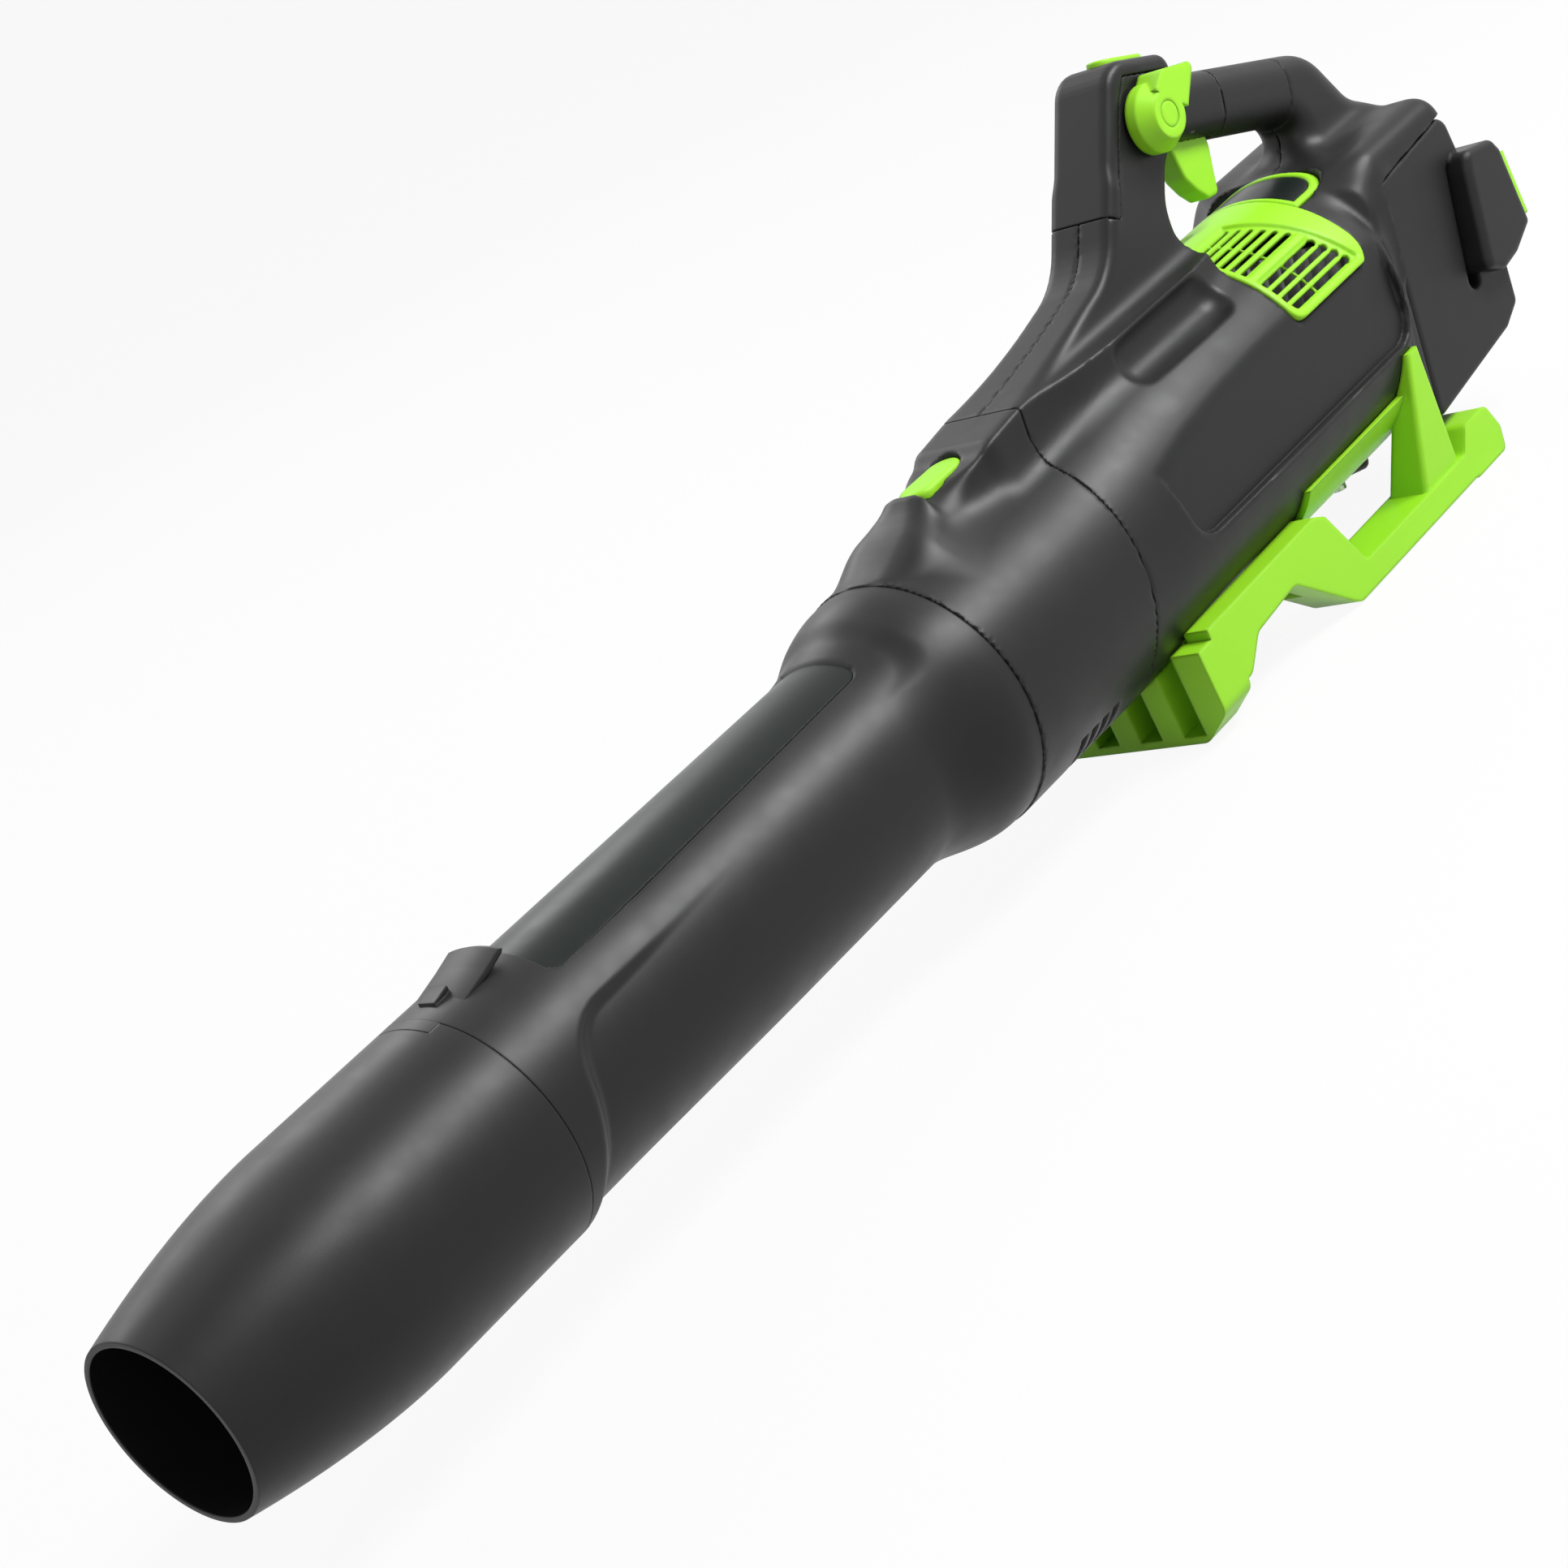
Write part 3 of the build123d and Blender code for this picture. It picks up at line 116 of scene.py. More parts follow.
DIAL_SEAT_DEPTH = 1.5
LEVER_REACH = 36.0
RIM_DEPTH = 12.0
BARREL_EDGE = 12.0
HOOD_TOP = 78.0
HOOD_CORNER = 13.0
POST_AHEAD = 155.0
POST_WIDTH = 39.0
POST_DEPTH = 45.0
POST_LEAN = 39.0
POST_FOOT_RISE = 104.0
HANDLE_TOP = 183.5
GRIP_SLOPE = 18.4
CAP_LENGTH = 48.0
GRIP_STEP = 10.0
GRIP_HEIGHT = 33.5
GRIP_WIDTH = 32.0
GRIP_LENGTH = 118.0
GRIP_SKIN = 1.5
CORE_WALL = 6.0
COVER_DEPTH = 8.0
BEAD_WIDTH = 6.0
BEAD_DEPTH = 1.8
LEVER_ROOM = 1.5
GRILLE_AHEAD = 97.2
GRILLE_LENGTH = 73.0
GRILLE_PROUD = 0.8
GRILLE_HALF_ANGLE = 66.0
WINDOW_LENGTH = 34.0
WINDOW_HALF_ANGLE = 29.0
TRIM_WIDTH = 4.0
BATTERY_LEAN = 13.7
BATTERY_TILT = 4.5
BATTERY_WIDTH = 110.0
BATTERY_TOP = 59.0
BATTERY_DROP = 58.0
BATTERY_LENGTH = 88.0
PARTING = 0.12

# Grille
BAR_ANGLE = 40
SLOT_PITCH = 5
SLOT_COUNT = 11
GRILLE_SINK = 1.7

# Widths over which forms run into each other
FAIRING_BLEND = 11
NOSE_BLEND = 15
HOOD_BLEND = 14
RIM_BLEND = 8
GRIP_BLEND = 12
HANDLE_BLEND = 14
SCOOP_EDGE = 1.2
RECESS_EDGE = 2.2
POST_EDGE = 6
GRIP_EDGE = 15

# Steps of the grids for the soft forms
GRID = 1.5
FINE = 0.8

BAY_X = SEAM + BODY_LENGTH
GRILLE_FRONT = BAY_X - GRILLE_AHEAD
GRILLE_REAR = GRILLE_FRONT + GRILLE_LENGTH
WINDOW_REAR = GRILLE_REAR + WINDOW_LENGTH
BODY_TOP = BODY_RISE + BODY_R


def direction(angle):
    """A unit vector in the side view, from the horizontal."""
    return np.array([math.cos(math.radians(angle)), math.sin(math.radians(angle))])


post_up = direction(90 - POST_LEAN)
post_back = direction(-POST_LEAN)
grip_dir = direction(-GRIP_SLOPE)
grip_up = direction(90 - GRIP_SLOPE)
post_foot = np.array([BAY_X - POST_AHEAD, POST_FOOT_RISE])
post_top = post_foot + post_up * ((HANDLE_TOP - POST_FOOT_RISE) / post_up[1])
post_rear_foot = post_foot + post_back * POST_DEPTH
post_rear_top = post_top + grip_dir * CAP_LENGTH
grip_front = post_rear_top - grip_up * GRIP_STEP
grip_rear = grip_front + grip_dir * GRIP_LENGTH
loop_rear = grip_rear - grip_up * GRIP_HEIGHT - grip_dir * 24
loop_front_x = GRILLE_FRONT + 1
dial_centre = post_foot + post_up * 80 + post_back * 27


# Distance fields
def soft_min(a, b, k):
    """The nearer of two distances, blended over a width."""
    h = np.clip(0.5 + 0.5 * (b - a) / k, 0, 1)
    return b * (1 - h) + a * h - k * h * (1 - h)


def soft_max(a, b, k):
    return -soft_min(-a, -b, k)


def smooth_step(t):
    t = np.clip(t, 0, 1)
    return t * t * (3 - 2 * t)


def through(x, xs, ys):
    """A smooth curve through a few stations, level beyond the ends."""
    xs = np.array(xs, float)
    ys = np.array(ys, float)
    slopes = np.gradient(ys, xs)
    slopes[0] = 0
    x = np.clip(x, xs[0], xs[-1])
    i = np.clip(np.searchsorted(xs, x) - 1, 0, len(xs) - 2)
    width = xs[i + 1] - xs[i]
    t = (x - xs[i]) / width
    a = ys[i] * (1 + 2 * t) * (1 - t) ** 2 + slopes[i] * width * t * (1 - t) ** 2
    b = ys[i + 1] * t * t * (3 - 2 * t) + slopes[i + 1] * width * t * t * (t - 1)
    return a + b


def rounded(corners, radii):
    """A closed outline with its corners rounded."""
    points = []
    corners = [np.array(c, float) for c in corners]
    for i, corner in enumerate(corners):
        before = corners[i - 1] - corner
        after = corners[(i + 1) % len(corners)] - corner
        if radii[i] == 0:
            points.append(corner)
            continue
        before /= np.linalg.norm(before)
        after /= np.linalg.norm(after)
        half = math.acos(np.clip(before @ after, -1, 1)) / 2
        middle = before + after
        middle /= np.linalg.norm(middle)
        centre = corner + middle * radii[i] / math.sin(half)
        start = corner + before * radii[i] / math.tan(half) - centre
        end = corner + after * radii[i] / math.tan(half) - centre
        for t in np.linspace(0, 1, 8):
            spoke = start * (1 - t) + end * t
            points.append(centre + spoke * radii[i] / np.linalg.norm(spoke))
    return points


def polygon(u, v, points):
    """Signed distance to a closed outline in a plane."""
    u, v = np.broadcast_arrays(u, v)
    nearest = np.full(u.shape, 1e9)
    inside = np.zeros(u.shape, bool)
    for i, (u1, v1) in enumerate(points):
        u0, v0 = points[i - 1]
        eu, ev = u1 - u0, v1 - v0
        wu, wv = u - u0, v - v0
        t = np.clip((wu * eu + wv * ev) / (eu * eu + ev * ev), 0, 1)
        nearest = np.minimum(nearest, (wu - t * eu) ** 2 + (wv - t * ev) ** 2)
        if v0 != v1:
            crosses = (v0 <= v) != (v1 <= v)
            inside ^= crosses & (wu < eu * wv / ev)
    return np.where(inside, -1, 1) * np.sqrt(nearest)


def slab(x, low, high):
    return np.maximum(low - x, x - high)


# Forms of the housing
def body_field(x, y, z, shrink=0.0):
    stations = [SEAM - 40] + [SEAM + share * BODY_LENGTH for share in (0, 0.25, 0.65, 0.93, 1.08)]
    grown = 0.7 * (BODY_R - RING_R)
    r = through(x, stations, [RING_R, RING_R, RING_R + grown, BODY_R, BODY_R - 1.5, BODY_R - 4.5])
    rise = through(x, stations, [0, 0, 0.7 * BODY_RISE, BODY_RISE, BODY_RISE + 1, BODY_RISE + 2])
    return np.hypot(y, z - rise) - r + shrink


def saddle_outline():
    """The fairing from the side: a hollow swoop, a lip, the button's place and the level top."""
    front_x = RING_FRONT + 3
    lip_z = FAIRING_TOP + FAIRING_LIP
    start_z = RING_R - 0.5
    run = LIP_X - front_x
    climb = lip_z - start_z
    r = (run * run + climb * climb) / (2 * climb)
    swoop = [(front_x + run * t, start_z + r - math.sqrt(r * r - (run * t) ** 2))
             for t in np.linspace(0, 1, 9)]
    rest = [(LIP_X + 3, lip_z), (LIP_X + 5, FAIRING_TOP), (SADDLE_X, SADDLE_TOP),
            (GRILLE_FRONT, SADDLE_TOP), (GRILLE_FRONT, 40), (front_x, 40)]
    return swoop + rest


def saddle_half(x):
    """Half the fairing's width along its length."""
    near = POST_WIDTH / 2
    xs = [RING_FRONT + 3, LIP_X - 12, LIP_X, LIP_X + 10, LIP_X + 24, SADDLE_X, SADDLE_X + 40,
          GRILLE_FRONT - 22, GRILLE_FRONT]
    halves = [20, 17, 15.5, near - 3, near, near + 2.5, SADDLE_HALF - 4, SADDLE_HALF, SADDLE_HALF - 3]
    return through(x, xs, halves)


def post_outline():
    ridge_x = SEAM - 8
    ridge_z = FAIRING_TOP + (SADDLE_TOP - FAIRING_TOP) * 0.65
    rear_low = post_rear_foot + post_up * ((loop_front_x - post_rear_foot[0]) / post_up[0])
    corners = [(ridge_x, 40), (ridge_x, ridge_z - 1), (SADDLE_X, SADDLE_TOP - 0.5), post_foot, post_top,
               post_rear_top, rear_low, (loop_front_x, 40)]
    return rounded(corners, [0, 0, 40, 45, 17, 6, 30, 0])


def grip_outline():
    front = grip_front - grip_dir * 25
    low_front = front - grip_up * GRIP_HEIGHT
    end_x = grip_rear[0] + 31
    corners = [front, grip_rear, (end_x, BODY_TOP - 14), (end_x, 45), (loop_rear[0] - 6, 45),
               (loop_rear[0] - 5, BODY_TOP - 3), loop_rear, low_front]
    return rounded(corners, [0, 30, 0, 0, 0, 0, 9, 0])


def bay_axes(x, z):
    """Distances behind the leaning rear face and up along it."""
    lean = math.radians(BATTERY_LEAN)
    behind = (x - BAY_X) * math.cos(lean) - z * math.sin(lean)
    along = (x - BAY_X) * math.sin(lean) + z * math.cos(lean)
    return behind, along


def battery_room(x, z):
    """The space of the battery: behind the leaning face and under the hood."""
    behind, _ = bay_axes(x, z)
    front_top = BAY_X + (BATTERY_TOP + 0.5) * math.tan(math.radians(BATTERY_LEAN))
    roof = BATTERY_TOP + 0.5 + (x - front_top) * math.tan(math.radians(BATTERY_TILT))
    return np.maximum(-0.4 - behind, z - roof)


def hood_field(x, y, z):
    """The flat cover over the battery, with a front that slopes and narrows into the body."""
    half = BATTERY_WIDTH / 2 + 1
    x0 = BAY_X - 21
    slope = (z - HOOD_TOP + 24 - (x - x0)) / math.sqrt(2)
    narrow = (np.abs(y) - 18 - 2 * (x - x0 - 8)) / math.sqrt(5)
    section = soft_max(z - HOOD_TOP, np.abs(y) - half, 1.17 * HOOD_CORNER)
    front = soft_max(slope, narrow, 14)
    form = soft_max(soft_max(section, front, 12), x - BAY_X - BATTERY_LENGTH - 1, 10)
    return np.maximum(form, 20 - z)


def rim_field(x, y, z):
    """The square rim in front of the battery."""
    behind, along = bay_axes(x, z)
    height = soft_max(np.abs(y) - BATTERY_WIDTH / 2 - 1, slab(along, -BATTERY_DROP, BATTERY_TOP), 16)
    return soft_max(height, slab(behind, -RIM_DEPTH - 1.4, -0.4), 3)


def keel_field(x, y, z):
    x1 = BAY_X - BATTERY_DROP * math.tan(math.radians(BATTERY_LEAN)) - 6
    outline = rounded([(x1 - 34, -20), (x1, -20), (x1 - 2, -72), (x1 - 26, -66)], [0, 0, 4, 6])
    return soft_max(polygon(x, z, outline), np.abs(y) - 11, 3)


def scoop_field(x, y, z, grow=0.0):
    """The long hollow in each shoulder."""
    x1 = GRILLE_FRONT - 26
    x0 = x1 - SCOOP_LENGTH + 10
    beyond = np.maximum(slab(x, x0, x1), 0)
    away = np.sqrt(beyond ** 2 + (np.abs(y) - SCOOP_Y) ** 2 + (z - BODY_RISE - SCOOP_RISE) ** 2)
    return away - SCOOP_R - grow


def recess_field(x, y, z):
    """The flat panel sunk into each side."""
    x0 = SEAM + 43
    x1 = BAY_X - 19
    corners = [(x0, BODY_RISE - 18), (x1, BODY_RISE - 18), (x1 + 10, 90), (x0 - 10, 90)]
    return np.maximum(polygon(x, z, rounded(corners, [16, 16, 0, 0])), SIDE_FLAT - 1 - np.abs(y))


def grip_field(x, y, z):
    return soft_max(polygon(x, z, grip_outline()), np.abs(y) - GRIP_WIDTH / 2, GRIP_EDGE)


def post_field(x, y, z):
    """The post, with a bead along the front and top of its sunk sides, and room for the lever."""
    outline = polygon(x, z, post_outline())
    from_front = (x - post_foot[0]) * post_back[0] + (z - post_foot[1]) * post_back[1]
    from_top = (post_top[0] - x) * grip_up[0] + (post_top[1] - z) * grip_up[1]
    up = (x - post_foot[0]) * post_up[0] + (z - post_foot[1]) * post_up[1]
    inside = soft_min(from_front, from_top, 14) - BEAD_WIDTH
    sunk = BEAD_DEPTH * smooth_step(inside / 5) * smooth_step((up - 15) / 40)
    from_lever = np.hypot(x - dial_centre[0], z - dial_centre[1])
    sunk = np.maximum(sunk, LEVER_ROOM * (1 - smooth_step((from_lever - LEVER_REACH) / 10)))
    return soft_max(outline, np.abs(y) - POST_WIDTH / 2 + sunk, POST_EDGE)


def outer_field(x, y, z):
    """The whole outside of the ring, body, handle and hood, with its soft transitions."""
    behind, _ = bay_axes(x, z)
    body = soft_max(body_field(x, y, z), behind + RIM_DEPTH, 1.17 * BARREL_EDGE)
    body = np.maximum(body, RING_FRONT - x)
    edge = 13 - 11 * smooth_step((x - SEAM + 46) / 28)
    saddle = soft_max(polygon(x, z, saddle_outline()), np.abs(y) - saddle_half(x), edge)
    start = smooth_step((x - RING_FRONT) / 30)
    nose = 1 - smooth_step((x - RING_FRONT - 20) / 60)
    rear = smooth_step((x - SEAM - 20) / 60)
    whole = soft_min(body, saddle, 2 + (FAIRING_BLEND + NOSE_BLEND * nose - 3 * rear) * start)
    whole = soft_min(whole, rim_field(x, y, z), RIM_BLEND)
    whole = soft_min(whole, hood_field(x, y, z), HOOD_BLEND)
    whole = np.minimum(whole, keel_field(x, y, z))
    handle = soft_min(post_field(x, y, z), grip_field(x, y, z), GRIP_BLEND)
    whole = soft_min(whole, handle, HANDLE_BLEND)
    whole = soft_max(whole, -scoop_field(x, y, z), SCOOP_EDGE)
    whole = soft_max(whole, -recess_field(x, y, z), RECESS_EDGE)
    whole = np.maximum(whole, RING_FRONT - x)
    return np.maximum(whole, -battery_room(x, z))


def seam_field(x, z):
    """Distance behind the leaning joint between ring and body."""
    lean = math.radians(SEAM_LEAN)
    return (x - SEAM) * math.cos(lean) - z * math.sin(lean)


def on_body(y, z):
    """Distance round the body from its top, and distance from its middle line."""
    angle = np.arctan2(np.abs(y), z - BODY_RISE)
    return angle * BODY_R, np.hypot(y, z - BODY_RISE)


def grille_outline(x, z, arc):
    """The saddle-shaped place of the grille, as a distance along the surface."""
    half = math.radians(GRILLE_HALF_ANGLE) * BODY_R
    flat = soft_max(arc - half, slab(x, GRILLE_FRONT, GRILLE_REAR), 9)
    low = BODY_RISE + (BODY_R - WALL) * math.cos(math.radians(GRILLE_HALF_ANGLE)) - 1
    corners = [(GRILLE_FRONT, low), (GRILLE_REAR, low), (GRILLE_REAR, 140), (GRILLE_FRONT, 140)]
    return np.maximum(flat, polygon(x, z, rounded(corners, [6, 16, 0, 0])))


def grille_zone(x, y, z):
    arc, r = on_body(y, z)
    return np.maximum(grille_outline(x, z, arc), slab(r, 0.8 * BODY_R, 1.3 * BODY_R))


def window_outline(x, arc):
    """The place of the window behind the grille, round at the rear."""
    half = math.radians(WINDOW_HALF_ANGLE) * BODY_R
    return np.maximum(soft_max(arc - half, x - WINDOW_REAR, 16), GRILLE_REAR - x)


def window_zone(x, y, z):
    arc, r = on_body(y, z)
    return np.maximum(window_outline(x, arc), slab(r, BODY_R - 2, 1.3 * BODY_R))


def along_grip(x, y, z, start, end, top, bottom, half):
    corners = [grip_front + grip_dir * a - grip_up * d for a, d in
               ((start, top), (end, top), (end, bottom), (start, bottom))]
    return np.maximum(polygon(x, z, corners), np.abs(y) - half)


def sleeve_zone(x, y, z):
    """The stretch of the grip under the soft sleeve."""
    start = 36
    end = GRIP_LENGTH - 27
    return along_grip(x, y, z, start, end, -12, GRIP_HEIGHT + 12, 40)


def cover_zone(x, z):
    """The strip along the front and top of the post under its cover."""
    low = post_foot + post_up * 27
    out = post_back * 30
    inner_low = low + post_back * COVER_DEPTH
    corner = post_top + post_back * COVER_DEPTH
    corners = [low - out, inner_low, inner_low + (corner - inner_low) * 0.75,
               post_top + grip_dir * COVER_DEPTH - grip_up * COVER_DEPTH,
               post_rear_top - grip_up * COVER_DEPTH - grip_dir * 4,
               post_rear_top + grip_up * 20 - grip_dir * 4, post_top - out + grip_up * 20]
    return polygon(x, z, corners)


def slot_field(u, v, length, width):
    """Distance to an oblong, in its own plane."""
    return np.hypot(np.maximum(np.abs(u) - (length - width) / 2, 0), v) - width / 2


def boost_pocket(x, y, z):
    centre = post_top + grip_dir * 27
    u = (x - centre[0]) * grip_dir[0] + (z - centre[1]) * grip_dir[1]
    up = (x - centre[0]) * grip_up[0] + (z - centre[1]) * grip_up[1]
    return np.maximum(slot_field(u, y, BOOST_LENGTH, BOOST_WIDTH), -COVER_DEPTH - 4 - up)


def dial_seat(x, y, z):
    r = np.hypot(x - dial_centre[0], z - dial_centre[1])
    seat = np.maximum(r - DIAL_SEAT_R, y + POST_WIDTH / 2 - DIAL_SEAT_DEPTH)
    shaft = np.maximum(r - 4.3, y + 2)
    return np.minimum(seat, shaft)


def cavity_field(x, y, z):
    """The hollow inside the body and the rim."""
    behind, along = bay_axes(x, z)
    hollow = np.maximum(body_field(x, y, z, WALL), np.abs(y) - SIDE_FLAT + WALL)
    hollow = np.maximum(hollow, behind + RIM_DEPTH + WALL)
    hollow = np.maximum(hollow, -scoop_field(x, y, z, WALL))
    inset = WALL + 1
    height = slab(along, inset - BATTERY_DROP, BATTERY_TOP - inset)
    rim = soft_max(np.abs(y) - BATTERY_WIDTH / 2 - 1 + inset, height, 12)
    return np.minimum(hollow, np.maximum(rim, slab(behind, -RIM_DEPTH - inset, -inset)))


def post_cavity(x, y, z):
    low = post_foot + post_back * (POST_DEPTH / 2) - post_up * 45
    high = post_top + grip_dir * (CAP_LENGTH / 2) - grip_up * (COVER_DEPTH + 10)
    front = post_back * (POST_DEPTH / 2 - COVER_DEPTH - 3)
    back = post_back * (POST_DEPTH / 2 - WALL - 1.5)
    corners = [low - front, high - front, high + back, low + back]
    return np.maximum(polygon(x, z, corners), np.abs(y) - POST_WIDTH / 2 + 9)


def terminal_hole(x, y, z):
    at_z = BATTERY_TOP - 8
    at_x = BAY_X + at_z * math.tan(math.radians(BATTERY_LEAN))
    along = direction(BATTERY_TILT)
    u = (x - at_x) * along[0] + (z - at_z) * along[1]
    v = (z - at_z) * along[0] - (x - at_x) * along[1]
    return np.maximum(np.maximum(np.abs(u) - 20, np.abs(v) - 5), np.abs(y) - 22)


def housing_field(x, y, z):
    whole = np.maximum(outer_field(x, y, z), PARTING - seam_field(x, z))
    sleeve = np.maximum(sleeve_zone(x, y, z) - PARTING, -GRIP_SKIN - grip_field(x, y, z))
    wall = CORE_WALL
    cuts = [
        cavity_field(x, y, z),
        post_cavity(x, y, z),
        grille_zone(x, y, z) - PARTING,
        window_zone(x, y, z) - PARTING,
        cover_zone(x, z) - PARTING,
        boost_pocket(x, y, z),
        dial_seat(x, y, z),
        terminal_hole(x, y, z),
        sleeve,
        along_grip(x, y, z, 4, 64, wall, GRIP_HEIGHT - wall, GRIP_WIDTH / 2 - wall),
        along_grip(x, y, z, -10, 34, wall + 8, GRIP_HEIGHT + 20, 7.0),
    ]
    for cut in cuts:
        whole = np.maximum(whole, -cut)
    return whole


def housing_left_field(x, y, z):
    return np.maximum(housing_field(x, y, z), y + 0.02)


def housing_right_field(x, y, z):
    return np.maximum(housing_field(x, y, z), 0.02 - y)


def ring_field(x, y, z):
    whole = np.maximum(outer_field(x, y, z), seam_field(x, z) + PARTING)
    r = np.hypot(y, z)
    stop_x = SPIGOT_END + 0.4
    bore = np.where(x < stop_x, SPIGOT_R + 0.3, DUCT_R)
    bore = np.where(x > SEAM, DUCT_R + 2.8, bore)
    whole = np.maximum(whole, bore - r)
    groove = np.maximum(slab(x, RING_FRONT + 12, RING_FRONT + 16), r - SPIGOT_R - 2.5)
    whole = np.maximum(whole, -groove)
    button = slot_field(x - SEAM + BUTTON_AHEAD, y, BUTTON_LENGTH, BUTTON_WIDTH)
    pocket = np.maximum(button, RING_R - 2 - z)
    whole = np.maximum(whole, -pocket)
    for i in range(VENT_COUNT):
        x0 = RING_FRONT + 34 + VENT_PITCH * i
        vent = np.maximum(slab(x, x0, x0 + VENT_WIDTH), RING_R - 3.5 - r)
        vent = np.maximum(vent, np.maximum(np.abs(y) - 48, z))
        whole = soft_max(whole, -vent, 1.2)
    return whole


def cover_field(x, y, z):
    whole = np.maximum(outer_field(x, y, z), cover_zone(x, z) + PARTING)
    return np.maximum(whole, -boost_pocket(x, y, z))


def sleeve_field(x, y, z):
    outside = np.maximum(outer_field(x, y, z), sleeve_zone(x, y, z) + PARTING)
    return np.maximum(outside, -GRIP_SKIN - grip_field(x, y, z))


def grille_field(x, y, z):
    """The grille: a rim round a sunk plate with thin slots, a wide bar and broad slots."""
    arc, r = on_body(y, z)
    outline = grille_outline(x, z, arc) + PARTING
    degree = math.radians(1) * BODY_R
    share = (arc / degree - 10) / (GRILLE_HALF_ANGLE - 10)
    rear = GRILLE_REAR - 30 + 20 * share
    bed = np.maximum(np.maximum(outline + 4, x - rear - 3), 7 * degree - arc)
    bar = np.maximum(np.abs(arc - BAR_ANGLE * degree) - 2.4, x - rear)
    sunk = GRILLE_SINK * smooth_step(0.5 - bed / 1.2) * smooth_step(0.5 + bar / 1.2)
    plate = soft_max(r - BODY_R - GRILLE_PROUD + sunk, outline, 1.0)
    plate = np.maximum(plate, BODY_R - WALL - r)
    for i in range(SLOT_COUNT):
        angle = 10 + SLOT_PITCH * i
        if angle == BAR_ANGLE:
            continue
        end = GRILLE_REAR - 30 + 20 * (angle - 10) / (GRILLE_HALF_ANGLE - 10)
        start = GRILLE_FRONT + 5
        broad = angle > BAR_ANGLE
        slot = slot_field(x - (start + end) / 2, arc - angle * degree, end - start, 3.6 if broad else 2.8)
        if broad:
            slot = np.minimum(slot, np.hypot(x - end + 3, arc - angle * degree) - 2.3)
        plate = np.maximum(plate, -slot)
    rib_x = GRILLE_FRONT + 0.36 * GRILLE_LENGTH
    rib = np.maximum(slab(x, rib_x, rib_x + 2), slab(r, BODY_R - WALL, BODY_R - WALL + 1))
    plate = np.minimum(plate, np.maximum(rib, outline + 2))
    return plate


def trim_field(x, y, z):
    arc, r = on_body(y, z)
    outline = window_outline(x, arc) + PARTING
    band = np.maximum(outline, -TRIM_WIDTH - outline)
    return np.maximum(soft_max(r - BODY_R - GRILLE_PROUD, band, 1.2), BODY_R - 2 - r)


def pane_field(x, y, z):
    arc, r = on_body(y, z)
    outline = window_outline(x, arc) + TRIM_WIDTH + 2 * PARTING
    return np.maximum(soft_max(r - BODY_R - 0.2, outline, 0.6), BODY_R - 2 - r)


# Meshes from distance fields
CORNERS = [(i, j, k) for i in (0, 1) for j in (0, 1) for k in (0, 1)]
EDGES = [(a, b) for a in range(8) for b in range(a + 1, 8)
         if sum(p != q for p, q in zip(CORNERS[a], CORNERS[b])) == 1]


def surface_net(field, low, high, step, lean):
    """A mesh of the surface where a distance field changes sign: points and four-sided faces."""
    axes = [np.arange(low[i] - 1.5 * step, high[i] + 2.5 * step, step) for i in range(3)]
    x = axes[0][:, None, None] + lean * axes[2][None, None, :]
    values = field(x, axes[1][None, :, None], axes[2][None, None, :])
    values = np.broadcast_to(values, [len(a) for a in axes])
    inside = values < 0
    shape = [n - 1 for n in values.shape]

    def corner(array, c):
        return array[c[0]:c[0] + shape[0], c[1]:c[1] + shape[1], c[2]:c[2] + shape[2]]

    count = sum(corner(inside, c).astype(np.int8) for c in CORNERS)
    mixed = (count > 0) & (count < 8)
    index = np.full(shape, -1, np.int64)
    cells = np.argwhere(mixed)
    index[mixed] = np.arange(len(cells))
    depths = [corner(values, c)[mixed] for c in CORNERS]
    total = np.zeros((len(cells), 3))
    hits = np.zeros(len(cells))
    for a, b in EDGES:
        crossing = (depths[a] < 0) != (depths[b] < 0)
        span = np.where(crossing, depths[a] - depths[b], 1)
        t = np.where(crossing, depths[a] / span, 0)
        start = np.array(CORNERS[a])
        point = start + t[:, None] * (np.array(CORNERS[b]) - start)
        total += np.where(crossing[:, None], point, 0)
        hits += crossing
    origin = np.array([a[0] for a in axes])
    points = origin + (cells + total / hits[:, None]) * step
    points[:, 0] += lean * points[:, 2]
    faces = []
    for axis in range(3):
        p, q = [i for i in range(3) if i != axis]
        ahead = [slice(None)] * 3
        ahead[axis] = slice(1, None)
        back = [slice(None)] * 3
        back[axis] = slice(None, -1)
        flips = inside[tuple(back)] != inside[tuple(ahead)]
        at = np.argwhere(flips)
        within = (at[:, p] > 0) & (at[:, q] > 0)
        within &= (at[:, p] < values.shape[p] - 1) & (at[:, q] < values.shape[q] - 1)
        at = at[within]
        ring = []
        for dp, dq in ((0, 0), (-1, 0), (-1, -1), (0, -1)):
            near = at.copy()
            near[:, p] += dp
            near[:, q] += dq
            ring.append(index[near[:, 0], near[:, 1], near[:, 2]])
        quads = np.stack(ring, 1)
        outward = inside[at[:, 0], at[:, 1], at[:, 2]]
        if axis == 1:
            outward = ~outward
        quads = np.where(outward[:, None], quads, quads[:, ::-1])
        faces.append(quads)
    return points, np.concatenate(faces)


def settle(field, points, rounds=3):
    """Moves points onto the surface of a field."""
    h = 0.05
    for _ in range(rounds):
        x, y, z = points.T
        d = field(x, y, z)
        slope = np.stack([field(x + h, y, z) - field(x - h, y, z),
                          field(x, y + h, z) - field(x, y - h, z),
                          field(x, y, z + h) - field(x, y, z - h)], 1) / (2 * h)
        steep = np.maximum((slope ** 2).sum(1), 0.2)
        points = points - np.clip(d / steep, -1.0, 1.0)[:, None] * slope
    return points


